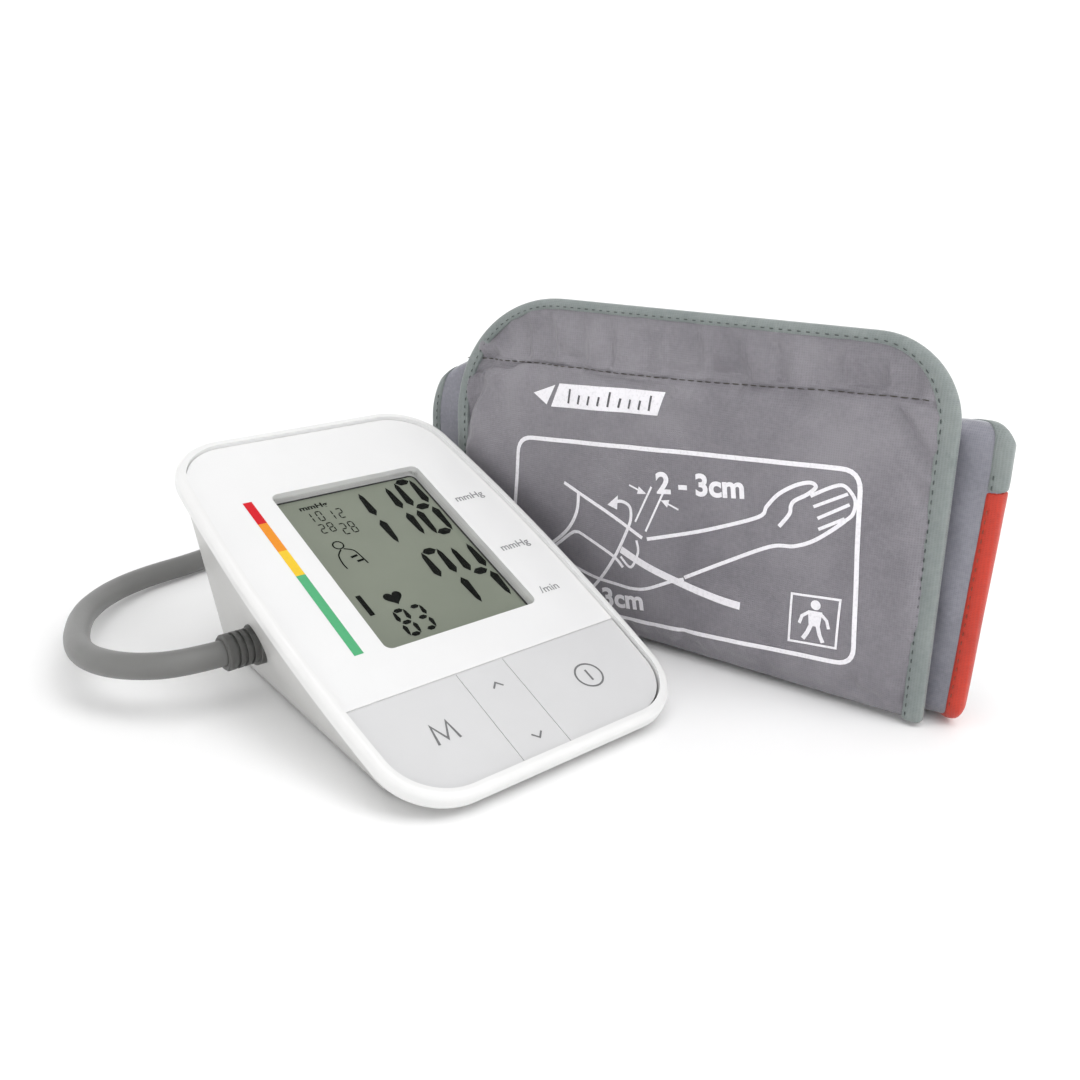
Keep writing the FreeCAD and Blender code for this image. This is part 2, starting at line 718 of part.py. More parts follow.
section = math.pi * (size.hoseOuter ** 2 - size.hoseBore ** 2) / 4
print("hose volume over section x length", round(hose.Volume / (section * hoseLength), 4))


def manifoldPorts():
    """The two ports on the manifold's top: from the socket, and from the pump."""
    return [3 - size.manifoldLeft, 11 - size.manifoldLeft]


def airManifold():
    """Block above the batteries that joins the socket, the pump and the valve."""
    along, up, half = size.manifoldY, size.manifoldZ, size.manifoldHalf
    body = block((-size.manifoldLeft, along - half, up - half),
                 (-size.manifoldRight, along + half, up + half))
    for across in manifoldPorts():
        body = body.cut(rod(size.tubeBore / 2, (across, along, up - 1), (across, along, up + half + 1)))
    return body.cut(rod(size.tubeBore / 2,
                        (2 - size.manifoldLeft, along, up), (1 - size.manifoldRight, along, up)))


def exhaustValve():
    """Solenoid valve on the end of the manifold."""
    along, up = size.manifoldY, size.manifoldZ
    neck = (3 - size.manifoldRight, along, up)
    stem = rod(2, (-size.manifoldRight, along, up), neck)
    return stem.fuse(rod(size.valveRadius, neck, (3 - size.manifoldRight + size.valveLong, along, up)))


pumpLine, pumpUp = pumpMiddle()
outletLine = pumpLine + size.outletBehind
outletTop = pumpUp + size.pumpRadius + 2
socketPort, pumpPort = manifoldPorts()
portLine = size.manifoldY
portTop = size.manifoldZ + size.manifoldHalf
tubeRoutes = {
    "socket_tube": [(barbX(), size.socketY, size.socketZ + 9), (barbX(), size.socketY, portTop + 3),
                    (socketPort, portLine - 5, portTop + 6.5), (socketPort, portLine, portTop + 4.5),
                    (socketPort, portLine, portTop)],
    "pump_tube": [(size.outletAcross, outletLine, outletTop), (size.outletAcross, outletLine, outletTop + 4),
                  (size.outletAcross - 10, outletLine, outletTop + 4.9), (-8, outletLine, outletTop + 3.5),
                  (-24, 97, outletTop - 0.5), (pumpPort - 2, portLine + 16, portTop + 10),
                  (pumpPort - 0.5, portLine + 5, portTop + 6), (pumpPort, portLine, portTop + 4),
                  (pumpPort, portLine, portTop)],
}
feature("air_manifold", airManifold(), standFrame())
feature("exhaust_valve", exhaustValve(), standFrame())
for label, route in tubeRoutes.items():
    inner, innerLength, innerRadii = tube([Vec(*point) for point in route], size.tubeOuter, size.tubeBore)
    feature(label, inner, standFrame())


# ---------------------------------------------------------------- cuff

def rounded(width, height, left, right):
    """Outline in the XZ plane with two rounded top corners."""
    s = math.sqrt(0.5)
    turnLeft = Vec(left, 0, height - left)
    turnRight = Vec(width - right, 0, height - right)
    return [
        Part.LineSegment(Vec(0, 0, 0), Vec(0, 0, height - left)).toShape(),
        Part.Arc(Vec(0, 0, height - left), turnLeft + Vec(-left * s, 0, left * s),
                 Vec(left, 0, height)).toShape(),
        Part.LineSegment(Vec(left, 0, height), Vec(width - right, 0, height)).toShape(),
        Part.Arc(Vec(width - right, 0, height), turnRight + Vec(right * s, 0, right * s),
                 Vec(width, 0, height - right)).toShape(),
        Part.LineSegment(Vec(width, 0, height - right), Vec(width, 0, 0)).toShape(),
        Part.LineSegment(Vec(width, 0, 0), Vec(0, 0, 0)).toShape(),
    ]


def flapSolid(inset, front, rear):
    """The free end of the cuff: a tall panel with rounded top corners."""
    bottom = size.wrapThick
    outline = rounded(size.flapWidth - 2 * inset, size.flapHeight - bottom - inset,
                      size.flapLeftRound - inset, size.flapRightRound - inset)
    solid = Part.Face(Part.Wire(outline)).extrude(Vec(0, rear - front, 0))
    solid.translate(Vec(inset, front, bottom))
    return solid


wrapLeft = -size.wrapOver
wrapRight = size.flapWidth + size.wrapOver
layerFront = size.flapThick + 2 * size.patchThick
layerRear = layerFront + size.wrapThick
wrapTop = size.wrapHeight - size.wrapThick


def roundedAlong(solid, radius, height):
    """Round the two long edges of a layer at one height."""
    longEdges = [edge for edge in levelEdges(solid, height) if edge.BoundBox.XLength > 50]
    return solid.makeFillet(radius, longEdges)


def rearLayer():
    """Padded rear layer of the roll; its pocket holds the air bag."""
    left = wrapLeft + 4
    right = size.flapWidth - 4
    layer = block((left, size.rollDepth - size.wrapThick, size.wrapThick), (right, size.rollDepth, wrapTop))
    pocket = block((14, size.rollDepth - size.wrapThick + 1, 12), (156, size.rollDepth - 1, wrapTop - 8))
    port = rod(2, (left - 1, size.rollDepth - size.wrapThick / 2, size.portHeight),
               (15, size.rollDepth - size.wrapThick / 2, size.portHeight))
    return layer.cut([pocket, port])


feature("cuff_flap", flapSolid(size.bindWidth, size.flapSink, size.flapThick - size.flapSink), cuffFrame())
feature("flap_binding", flapSolid(0, 0, size.flapThick).cut(flapSolid(size.bindWidth, -1, 9)), cuffFrame())
bottomPanel = block((wrapLeft, 0, 0), (wrapRight - 2, size.rollDepth, size.wrapThick - 0.02))
feature("cuff_bottom_fold", roundedAlong(bottomPanel, size.wrapThick - 1, 0), cuffFrame())
topPanel = block((wrapLeft, layerFront, wrapTop), (wrapRight, size.rollDepth, size.wrapHeight))
feature("cuff_top_fold", roundedAlong(topPanel, size.wrapThick - 1, size.wrapHeight), cuffFrame())
feature("cuff_rear_layer", rearLayer(), cuffFrame())
feature("cuff_inner_layer", block((wrapLeft + size.bindWidth, layerFront, size.wrapThick),
                                  (wrapRight - size.bindWidth, layerRear, wrapTop)), cuffFrame())
feature("left_binding", block((wrapLeft, layerFront, size.wrapThick),
                              (wrapLeft + size.bindWidth, layerRear, wrapTop)), cuffFrame())
feature("right_binding", block((wrapRight - size.bindWidth, layerFront, size.markerTop),
                               (wrapRight, layerRear, wrapTop)), cuffFrame())
feature("size_marker", block((wrapRight - size.bindWidth, layerFront, size.wrapThick),
                             (wrapRight, layerRear, size.markerTop)), cuffFrame())


def patch(front, rear):
    """One face of the hook and loop fastening, between the flap and the roll."""
    sideways = 0.13 * size.flapWidth
    return block((sideways, front, 0.2 * size.flapHeight),
                 (size.flapWidth - sideways, rear, 0.7 * size.flapHeight))


patchMiddle = size.flapThick + size.patchThick
feature("loop_patch", patch(size.flapThick - size.flapSink, patchMiddle), cuffFrame())
feature("hook_patch", patch(patchMiddle, layerFront), cuffFrame())
middleDepth = size.rollDepth - size.wrapThick / 2
bag = block((15, middleDepth - 1.6, 13), (155, middleDepth + 1.6, wrapTop - 9))
feature("air_bag", bag, cuffFrame())


def cuffPort():
    """Straight tube from the air bag out of the cuff's edge and into the hose's end."""
    start = (wrapLeft + 4 - size.portLength, middleDepth, size.portHeight)
    end = (15, middleDepth, size.portHeight)
    beyond = (start[0] - 1, middleDepth, size.portHeight)
    outer = rod(size.hoseBore / 2 - size.fitGap, start, end)
    return outer.cut(rod(1, beyond, (end[0] + 1, middleDepth, size.portHeight)))


feature("cuff_port", cuffPort(), cuffFrame())

doc.recompute()
for thing in doc.Objects:
    if "Invalid" in thing.State or "Error" in thing.State:
        raise RuntimeError(f"{thing.Label} failed: {thing.State}")
for thing in parts:
    if thing.Shape.isNull() or not thing.Shape.isValid():
        raise RuntimeError(f"{thing.Label} has no valid shape")
os.makedirs("parts", exist_ok=True)
own = FreeCAD.BoundBox()
for thing in parts:
    thing.Shape.exportStep(f"parts/{thing.Label}.step")
    if thing.Label != "air_hose" and not thing.Label.startswith(("air_plug", "plug_")):
        own.add(thing.Shape.BoundBox)
print("pieces", len(parts))
print("box", [round(value, 2) for value in (own.XMin, own.XMax, own.YMin, own.YMax, own.ZMin, own.ZMax)])
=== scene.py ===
import math

import bmesh
import bpy
from mathutils import Matrix, Vector, noise
from mathutils.bvhtree import BVHTree


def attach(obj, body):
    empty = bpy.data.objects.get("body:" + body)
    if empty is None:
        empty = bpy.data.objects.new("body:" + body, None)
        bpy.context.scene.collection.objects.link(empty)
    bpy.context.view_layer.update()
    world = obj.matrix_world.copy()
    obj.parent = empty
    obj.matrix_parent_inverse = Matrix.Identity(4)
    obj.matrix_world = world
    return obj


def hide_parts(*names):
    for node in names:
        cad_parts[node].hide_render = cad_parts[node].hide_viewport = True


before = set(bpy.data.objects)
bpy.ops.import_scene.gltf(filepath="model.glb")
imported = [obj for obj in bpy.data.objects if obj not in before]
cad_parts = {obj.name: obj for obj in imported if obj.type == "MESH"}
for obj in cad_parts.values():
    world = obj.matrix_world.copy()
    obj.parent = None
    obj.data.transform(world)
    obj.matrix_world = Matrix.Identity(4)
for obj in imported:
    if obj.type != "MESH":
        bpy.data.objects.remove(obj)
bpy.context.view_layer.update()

# Arm blood pressure monitor with its air hose and rolled cuff.
# Every piece is drawn in millimetres in a frame of its own and then put into the set, in metres.

setBody = "monitor_and_cuff"
mm = 0.001

# the sloping face: u across, s up it from the line above the keys, n out of it
faceFit = {"at": (-39.2, -13.7, 20.56), "slope": 24}
# the cuff: u along it from the flap's left end, d back through it, z up
cuffFit = {"at": (15.3, 76.9, 0), "turn": -77.2}
facePlace = (Matrix.Translation(Vector(faceFit["at"]) * mm)
             @ Matrix.Rotation(math.radians(faceFit["slope"]), 4, "X") @ Matrix.Scale(mm, 4))
cuffPlace = (Matrix.Translation(Vector(cuffFit["at"]) * mm)
             @ Matrix.Rotation(math.radians(cuffFit["turn"]), 4, "Z") @ Matrix.Scale(mm, 4))

cameraFit = {"at": (-0.20996, -0.24102, 0.159), "pitch": 70.298, "turn": -39.79, "lens": 36.667}
camera = bpy.data.objects.new("camera", bpy.data.cameras.new("camera"))
camera.location = cameraFit["at"]
camera.rotation_euler = (math.radians(cameraFit["pitch"]), 0, math.radians(cameraFit["turn"]))
camera.data.lens = cameraFit["lens"]
camera.data.sensor_width = 36
camera.data.clip_start = 0.01
bpy.context.collection.objects.link(camera)
bpy.context.scene.camera = camera


# ways of making a finish

def newFinish(name):
    finish = bpy.data.materials.new(name)
    finish.use_nodes = True
    return finish, finish.node_tree.nodes, finish.node_tree.links


def addNode(nodes, kind, **values):
    node = nodes.new(kind)
    for key, value in values.items():
        if key.startswith("in_"):
            node.inputs[key[3:].replace("_", " ")].default_value = value
        else:
            setattr(node, key, value)
    return node


def placeNode(nodes, links, turn=0, stretch=(1, 1, 1)):
    where = addNode(nodes, "ShaderNodeTexCoord")
    mapping = addNode(nodes, "ShaderNodeMapping",
                      in_Rotation=(0, 0, math.radians(turn)), in_Scale=stretch)
    links.new(where.outputs["Object"], mapping.inputs["Vector"])
    return mapping.outputs["Vector"]


def noiseNode(nodes, links, place, size, detail=3, rough=0.5):
    cloud = addNode(nodes, "ShaderNodeTexNoise", in_Scale=1 / size, in_Detail=detail, in_Roughness=rough)
    links.new(place, cloud.inputs["Vector"])
    return cloud.outputs["Fac"]


def tone(nodes, links, factor, colours, stops=(0.3, 0.7)):
    ramp = addNode(nodes, "ShaderNodeValToRGB")
    for element, colour, stop in zip(ramp.color_ramp.elements, colours, stops):
        element.color = (*colour, 1)
        element.position = stop
    links.new(factor, ramp.inputs["Fac"])
    return ramp.outputs["Color"]


def spread(nodes, links, factor, low, high):
    span = addNode(nodes, "ShaderNodeMapRange")
    span.inputs["To Min"].default_value = low
    span.inputs["To Max"].default_value = high
    links.new(factor, span.inputs["Value"])
    return span.outputs["Result"]


def raised(nodes, links, shader, height, depth, strength=1.0, below=None):
    bump = addNode(nodes, "ShaderNodeBump", in_Distance=depth, in_Strength=strength)
    links.new(height, bump.inputs["Height"])
    if below:
        links.new(below, bump.inputs["Normal"])
    links.new(bump.outputs["Normal"], shader.inputs["Normal"])
    return bump.outputs["Normal"]


def mouldedFinish(name, colour, shade, roughness=(0.3, 0.4), grain=0.0004, depth=0.00001,
                  coat=0.0, metallic=0.0, sheen=0.0, stretch=(1, 1, 1)):
    # a moulded, turned or rolled surface: slow change of tone, fine grain in the gloss and in the relief
    finish, nodes, links = newFinish(name)
    shader = nodes["Principled BSDF"]
    place = placeNode(nodes, links, stretch=stretch)
    patches = noiseNode(nodes, links, place, 0.03, 4)
    links.new(tone(nodes, links, patches, (shade, colour)), shader.inputs["Base Color"])
    fine = noiseNode(nodes, links, place, grain, 2)
    links.new(spread(nodes, links, fine, *roughness), shader.inputs["Roughness"])
    raised(nodes, links, shader, fine, depth, 0.6)
    shader.inputs["Coat Weight"].default_value = coat
    shader.inputs["Metallic"].default_value = metallic
    shader.inputs["Sheen Weight"].default_value = sheen
    finish.diffuse_color = (*colour, 1)
    return finish


def wovenFinish(name, colour, shade, pitch=0.0007, ribs=(1, 1), gloss=(0.42, 0.6), sheen=0.25,
                crease=0.0006):
    # plain weave along the cuff: warp and weft ridges, a little slub in the yarn, painted shade in the
    # grooves between the yarns, soft creases below
    finish, nodes, links = newFinish(name)
    turn = -cuffFit["turn"]
    shader = nodes["Principled BSDF"]
    place = placeNode(nodes, links, turn)
    heights = []
    for direction, share in zip(("X", "Z"), ribs):
        yarn = addNode(nodes, "ShaderNodeTexWave", wave_type="BANDS", bands_direction=direction,
                       in_Scale=0.314159 / pitch * share, in_Distortion=0.6, in_Detail=1.0)
        yarn.inputs["Detail Scale"].default_value = 0.3
        links.new(place, yarn.inputs["Vector"])
        heights.append(yarn.outputs["Fac"])
    weave = addNode(nodes, "ShaderNodeMath", operation="MAXIMUM")
    links.new(heights[0], weave.inputs[0])
    links.new(heights[1], weave.inputs[1])
    slubPlace = placeNode(nodes, links, turn, (0.06, 1, 1))
    slub = noiseNode(nodes, links, slubPlace, 0.0012, 3)
    cloud = noiseNode(nodes, links, place, 0.02, 5)
    mixed = addNode(nodes, "ShaderNodeMath", operation="MULTIPLY_ADD")
    mixed.inputs[1].default_value = 0.5
    links.new(slub, mixed.inputs[0])
    links.new(cloud, mixed.inputs[2])
    coloured = tone(nodes, links, mixed.outputs[0], (shade, colour), (0.5, 0.95))
    # painted shade: the grooves between the yarns are darkened in the colour, standing in for the shade
    # that falls in them
    grooveShade = tone(nodes, links, weave.outputs[0], ((0.62, 0.62, 0.62), (1, 1, 1)), (0.1, 0.9))
    grooveShadedColour = addNode(nodes, "ShaderNodeMix", data_type="RGBA", blend_type="MULTIPLY")
    grooveShadedColour.inputs["Factor"].default_value = 0.35
    links.new(coloured, grooveShadedColour.inputs["A"])
    links.new(grooveShade, grooveShadedColour.inputs["B"])
    links.new(grooveShadedColour.outputs["Result"], shader.inputs["Base Color"])
    links.new(spread(nodes, links, cloud, *gloss), shader.inputs["Roughness"])
    creases = raised(nodes, links, shader, noiseNode(nodes, links, place, 0.012, 4, 0.6), crease, 0.5)
    raised(nodes, links, shader, weave.outputs[0], pitch * 0.14, 0.7, creases)
    shader.inputs["Sheen Weight"].default_value = sheen
    shader.inputs["Sheen Roughness"].default_value = 0.4
    finish.diffuse_color = (*colour, 1)
    return finish


def inkFinish(name, colour, roughness=0.5, wear=0.12, gloss=0.5):
    # printed or set colour with small gaps of tone
    finish, nodes, links = newFinish(name)
    shader = nodes["Principled BSDF"]
    place = placeNode(nodes, links)
    worn = tuple(part * (1 - wear) for part in colour)
    speck = noiseNode(nodes, links, place, 0.0009, 4)
    links.new(tone(nodes, links, speck, (worn, colour), (0.3, 0.5)), shader.inputs["Base Color"])
    links.new(spread(nodes, links, speck, roughness, roughness + 0.12), shader.inputs["Roughness"])
    raised(nodes, links, shader, speck, 0.00002, 0.4)
    shader.inputs["Specular IOR Level"].default_value = gloss
    finish.diffuse_color = (*colour, 1)
    return finish


def windowFinish(name, colour, alpha):
    finish, nodes, links = newFinish(name)
    shader = nodes["Principled BSDF"]
    place = placeNode(nodes, links)
    smear = noiseNode(nodes, links, place, 0.02, 3)
    links.new(spread(nodes, links, smear, 0.04, 0.09), shader.inputs["Roughness"])
    links.new(tone(nodes, links, smear, (colour, tuple(min(1, part * 1.05) for part in colour))),
              shader.inputs["Base Color"])
    shader.inputs["Alpha"].default_value = alpha
    shader.inputs["IOR"].default_value = 1.49
    return finish


whiteCase = mouldedFinish("white case plastic", (0.79, 0.79, 0.785), (0.765, 0.765, 0.76),
                          (0.26, 0.36), 0.0006, 0.000006, coat=0.25)
# painted shade: the lower case and battery cover get a darker grey than the upper case, standing in for
# the shade on the case's side walls
shadeGreyCase = mouldedFinish("grey case plastic with painted shade", (0.6, 0.597, 0.585), (0.565, 0.562, 0.55),
                         (0.34, 0.46), 0.0005, 0.00001, coat=0.1)
whitePanel = mouldedFinish("white face plastic", (0.8, 0.8, 0.8), (0.78, 0.78, 0.78),
                           (0.3, 0.38), 0.0009, 0.000004, coat=0.1)
keyPlastic = mouldedFinish("light grey key plastic", (0.64, 0.64, 0.645), (0.61, 0.61, 0.615),
                           (0.38, 0.5), 0.0003, 0.00001)
lcdFinish = mouldedFinish("display grey", (0.255, 0.28, 0.222), (0.235, 0.26, 0.206),
                          (0.32, 0.4), 0.0005, 0.000002)
lensFinish = windowFinish("clear display window", (0.02, 0.022, 0.02), 0.05)
darkPlastic = mouldedFinish("dark inner plastic", (0.03, 0.03, 0.033), (0.022, 0.022, 0.024),
                            (0.45, 0.6))
boardGreen = mouldedFinish("green board", (0.02, 0.16, 0.07), (0.015, 0.11, 0.05),
                           (0.3, 0.5), 0.0015, 0.00003)
blackChip = mouldedFinish("black package", (0.018, 0.018, 0.02), (0.012, 0.012, 0.013), (0.5, 0.65))
blackRubber = mouldedFinish("black rubber", (0.025, 0.025, 0.027), (0.017, 0.017, 0.018),
                            (0.7, 0.85), 0.0008, 0.00005)
hoseRubber = mouldedFinish("grey hose", (0.165, 0.165, 0.16), (0.13, 0.13, 0.127),
                           (0.42, 0.55), 0.0005, 0.00001, sheen=0.1)
plugRubber = mouldedFinish("dark grey plug", (0.098, 0.098, 0.094), (0.078, 0.078, 0.075),
                           (0.4, 0.52), 0.0004, 0.000012)
paleTube = mouldedFinish("pale inner tube", (0.62, 0.62, 0.55), (0.55, 0.55, 0.48), (0.35, 0.5))
brightSteel = mouldedFinish("bright steel", (0.6, 0.6, 0.61), (0.5, 0.5, 0.51),
                            (0.2, 0.38), 0.0003, 0.00001, metallic=1, stretch=(0.08, 1, 1))
cellWrap = mouldedFinish("battery wrap", (0.05, 0.06, 0.075), (0.035, 0.042, 0.05),
                         (0.25, 0.35), coat=0.3)
cuffNylon = wovenFinish("grey cuff nylon", (0.27, 0.258, 0.283), (0.19, 0.18, 0.203),
                        gloss=(0.36, 0.5), crease=0.0009)
liningNylon = wovenFinish("grey lining satin", (0.285, 0.285, 0.33), (0.18, 0.182, 0.215),
                          0.0006, (1, 1), (0.24, 0.38), 0.35, 0.002)
edgeTape = wovenFinish("grey edge tape", (0.262, 0.292, 0.284), (0.195, 0.225, 0.22),
                       0.0008, (1, 1.6), (0.5, 0.65), 0.2, 0.0003)
markerTape = wovenFinish("red edge tape", (0.56, 0.036, 0.014), (0.42, 0.025, 0.011),
                         0.0008, (1, 1.6), (0.5, 0.65), 0.2, 0.0003)
pileFinish = wovenFinish("hook and loop", (0.05, 0.05, 0.056), (0.03, 0.03, 0.034),
                         0.0011, (1, 1), (0.8, 0.95), 0.5)
darkThread = mouldedFinish("dark thread", (0.075, 0.068, 0.055), (0.045, 0.04, 0.034),
                           (0.6, 0.8), 0.0002, 0.00003)
tapeThread = mouldedFinish("grey thread", (0.085, 0.1, 0.098), (0.055, 0.066, 0.065),
                           (0.6, 0.8), 0.0002, 0.00003)
redThread = mouldedFinish("red thread", (0.3, 0.07, 0.04), (0.22, 0.04, 0.025),
                          (0.6, 0.8), 0.0002, 0.00003)
cuffInk = inkFinish("pale cuff print", (0.93, 0.91, 0.95))
tickInk = inkFinish("dark cuff print", (0.1, 0.095, 0.105))
digitInk = inkFinish("display segments", (0.006, 0.007, 0.006), 0.5, 0.3, 0.05)
# painted shade: dark ink for a frame round the display's edge, standing in for the shadow of the
# window's recess
edgeShadeInk = inkFinish("painted display edge shade", (0.045, 0.047, 0.045), 0.6, 0.2, 0.2)
labelInk = inkFinish("grey key print", (0.17, 0.17, 0.175), 0.4)
faintInk = inkFinish("faint face print", (0.25, 0.25, 0.26), 0.4)
print("finishes made")

# finishes of the rigid pieces that keep their own shape
nodeFinishes = {
    "upper_case": whiteCase, "lower_case": shadeGreyCase, "battery_cover": shadeGreyCase,
    "face_panel": whitePanel, "display_window": lensFinish, "lcd_glass": lcdFinish,
    "lcd_frame": darkPlastic, "contact_strips": blackRubber, "main_board": boardGreen,
    "controller_chip": blackChip, "pressure_sensor": blackChip, "beeper": blackChip,
    "memory_key": keyPlastic, "rocker_key": keyPlastic, "start_key": keyPlastic,
    "key_board": boardGreen, "key_switches": blackChip, "battery_tray": darkPlastic,
    "battery_contacts": brightSteel, "pump_motor": brightSteel, "pump_head": darkPlastic,
    "case_feet": blackRubber, "case_screws": brightSteel, "air_socket": plugRubber,
    "air_plug": plugRubber, "plug_nozzle": plugRubber, "air_manifold": darkPlastic,
    "exhaust_valve": brightSteel, "socket_tube": paleTube, "pump_tube": paleTube,
    "air_bag": blackRubber, "cuff_port": plugRubber, "battery_1": cellWrap,
    "battery_2": cellWrap, "battery_3": cellWrap, "battery_4": cellWrap,
}
sharpAngle = 32  # edges sharper than this stay crisp
for name, finish in nodeFinishes.items():
    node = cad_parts[name]
    node.data.materials.clear()
    node.data.materials.append(finish)
    node.data.shade_smooth()
    node.data.set_sharp_from_angle(angle=math.radians(sharpAngle))


# the hose: out of the plug, round behind the monitor and into the cuff's rear edge
hoseFit = {
    "diameter": 0.008,
    "exit": (-0.0836, 0.0463, 0.0174),
    "route": [
        (-0.0862, 0.0463, 0.0174), (-0.1042, 0.0463, 0.0174), (-0.1182, 0.0561, 0.0170),
        (-0.1247, 0.0740, 0.0156), (-0.1197, 0.0988, 0.0120), (-0.1062, 0.1303, 0.0080),
        (-0.0827, 0.1528, 0.0050), (-0.0502, 0.1583, 0.0044), (-0.0192, 0.1723, 0.0044),
        (-0.0012, 0.2003, 0.0044), (0.0018, 0.2363, 0.0044), (0.0178, 0.2693, 0.0044),
        (0.0488, 0.2803, 0.0044), (0.0748, 0.2623, 0.0044), (0.0798, 0.2303, 0.0044),
        (0.0688, 0.2003, 0.0044), (0.0538, 0.1723, 0.0044), (0.0408, 0.1463, 0.0060),
        (0.0395, 0.1193, 0.0120), (0.04526, 0.09396, 0.0120),
    ],
}


def makeHose():
    line = bpy.data.curves.new("airHose", "CURVE")
    line.dimensions = "3D"
    spline = line.splines.new("NURBS")
    spline.points.add(len(hoseFit["route"]) - 1)
    for point, place in zip(spline.points, hoseFit["route"]):
        point.co = (*place, 1)
    spline.order_u = 3
    spline.use_endpoint_u = True
    line.resolution_u = 16
    line.bevel_depth = hoseFit["diameter"] / 2
    line.bevel_resolution = 8
    line.use_fill_caps = True
    line.materials.append(hoseRubber)
    hose = bpy.data.objects.new("airHose", line)
    bpy.context.collection.objects.link(hose)
    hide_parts("air_hose")
    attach(hose, setBody)
    plainLine = line.copy()
    plainLine.bevel_depth = 0
    plain = bpy.data.objects.new("routeLine", plainLine)
    points = [vert.co.copy() for vert in bpy.data.meshes.new_from_object(plain).vertices]
    length = sum((b - a).length for a, b in zip(points, points[1:]))
    bpy.data.objects.remove(plain)
    return length


print("hose laid,", round(makeHose(), 3), "m")


# shapes drawn flat: lists of outlines, each a list of (x, y)

def smoothLine(points, steps=6):
    # a soft line through all the points
    ends = [points[0]] + list(points) + [points[-1]]
    line = []
    for a, b, c, d in zip(ends, ends[1:], ends[2:], ends[3:]):
        for step in range(steps):
            t = step / steps
            line.append(tuple(0.5 * (2 * b[k] + (c[k] - a[k]) * t
                                     + (2 * a[k] - 5 * b[k] + 4 * c[k] - d[k]) * t * t
                                     + (3 * b[k] - a[k] - 3 * c[k] + d[k]) * t ** 3) for k in (0, 1)))
    line.append(tuple(points[-1]))
    return line


def stroke(points, width, closed=False):
    # a line of even width, mitred at its corners
    line = [Vector(point) for point in points]
    count = len(line)
    sides = []
    for i, point in enumerate(line):
        before = line[i - 1] if i or closed else None
        after = line[(i + 1) % count] if i < count - 1 or closed else None
        into = (point - before).normalized() if before is not None else (after - point).normalized()
        out = (after - point).normalized() if after is not None else into
        way = (into + out).normalized()
        across = Vector((-way.y, way.x)) * width / 2 / max(0.5, way.dot(into))
        sides.append((point - across, point + across))
    pairs = list(zip(sides, sides[1:])) + ([(sides[-1], sides[0])] if closed else [])
    return [[tuple(a[0]), tuple(b[0]), tuple(b[1]), tuple(a[1])] for a, b in pairs]


def circlePoints(x, y, radius, steps, count):
    turns = [math.tau * i / steps for i in range(count)]
    return [(x + radius * math.cos(turn), y + radius * math.sin(turn)) for turn in turns]


def ring(x, y, radius, width, steps=32):
    return stroke(circlePoints(x, y, radius, steps, steps + 1), width)


def disc(x, y, radius, steps=20):
    return [circlePoints(x, y, radius, steps, steps)]


def lettering(text, left, low, height, turn=0.0, bold=0.0, stretch=1.0):
    # figures and units from the plain built-in letter shapes
    words = bpy.data.curves.new("words", "FONT")
    words.body = text
    words.offset = bold
    holder = bpy.data.objects.new("words", words)
    bpy.context.collection.objects.link(holder)
    bpy.context.view_layer.update()
    shape = bpy.data.meshes.new_from_object(holder.evaluated_get(bpy.context.evaluated_depsgraph_get()))
    tall = max(vert.co.y for vert in shape.vertices)
    cosine, sine = math.cos(math.radians(turn)), math.sin(math.radians(turn))
    scale = height / tall
    places = [(vert.co.x * stretch * scale, vert.co.y * scale) for vert in shape.vertices]
    places = [(left + x * cosine - y * sine, low + x * sine + y * cosine) for x, y in places]
    outlines = [[places[i] for i in polygon.vertices] for polygon in shape.polygons]
    bpy.data.objects.remove(holder)
    bpy.data.meshes.remove(shape)
    return outlines


def printOn(name, outlines, place, finish, body, slot, step=4.0):
    # lay the outlines on a surface: place turns (x, y) into a point in the set, in metres;
    # no edge stays longer than the step, so that the print follows the surface
    mesh = bmesh.new()
    for outline in outlines:
        turned = sum(a[0] * b[1] - b[0] * a[1] for a, b in zip(outline, outline[1:] + outline[:1]))
        corners = outline if turned > 0 else outline[::-1]
        mesh.faces.new([mesh.verts.new((x, y, 0)) for x, y in corners])
    bmesh.ops.triangulate(mesh, faces=mesh.faces[:])
    for _ in range(7):
        edges = [edge for edge in mesh.edges if edge.calc_length() > step]
        if not edges:
            break
        bmesh.ops.subdivide_edges(mesh, edges=edges, cuts=1)
        bmesh.ops.triangulate(mesh, faces=[face for face in mesh.faces if len(face.verts) > 3])
    for vert in mesh.verts:
        vert.co = place(vert.co.x, vert.co.y)
    return finishPiece(name, mesh, finish, body, slot)


def finishPiece(name, mesh, finish, body=setBody, slot=None):
    data = bpy.data.meshes.new(name)
    mesh.to_mesh(data)
    mesh.free()
    data.materials.append(finish)
    for polygon in data.polygons:
        polygon.use_smooth = True
    piece = bpy.data.objects.new(name, data)
    bpy.context.collection.objects.link(piece)
    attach(piece, body)
    return piece


def onFace(out):
    return lambda across, along: facePlace @ Vector((across, along, out))
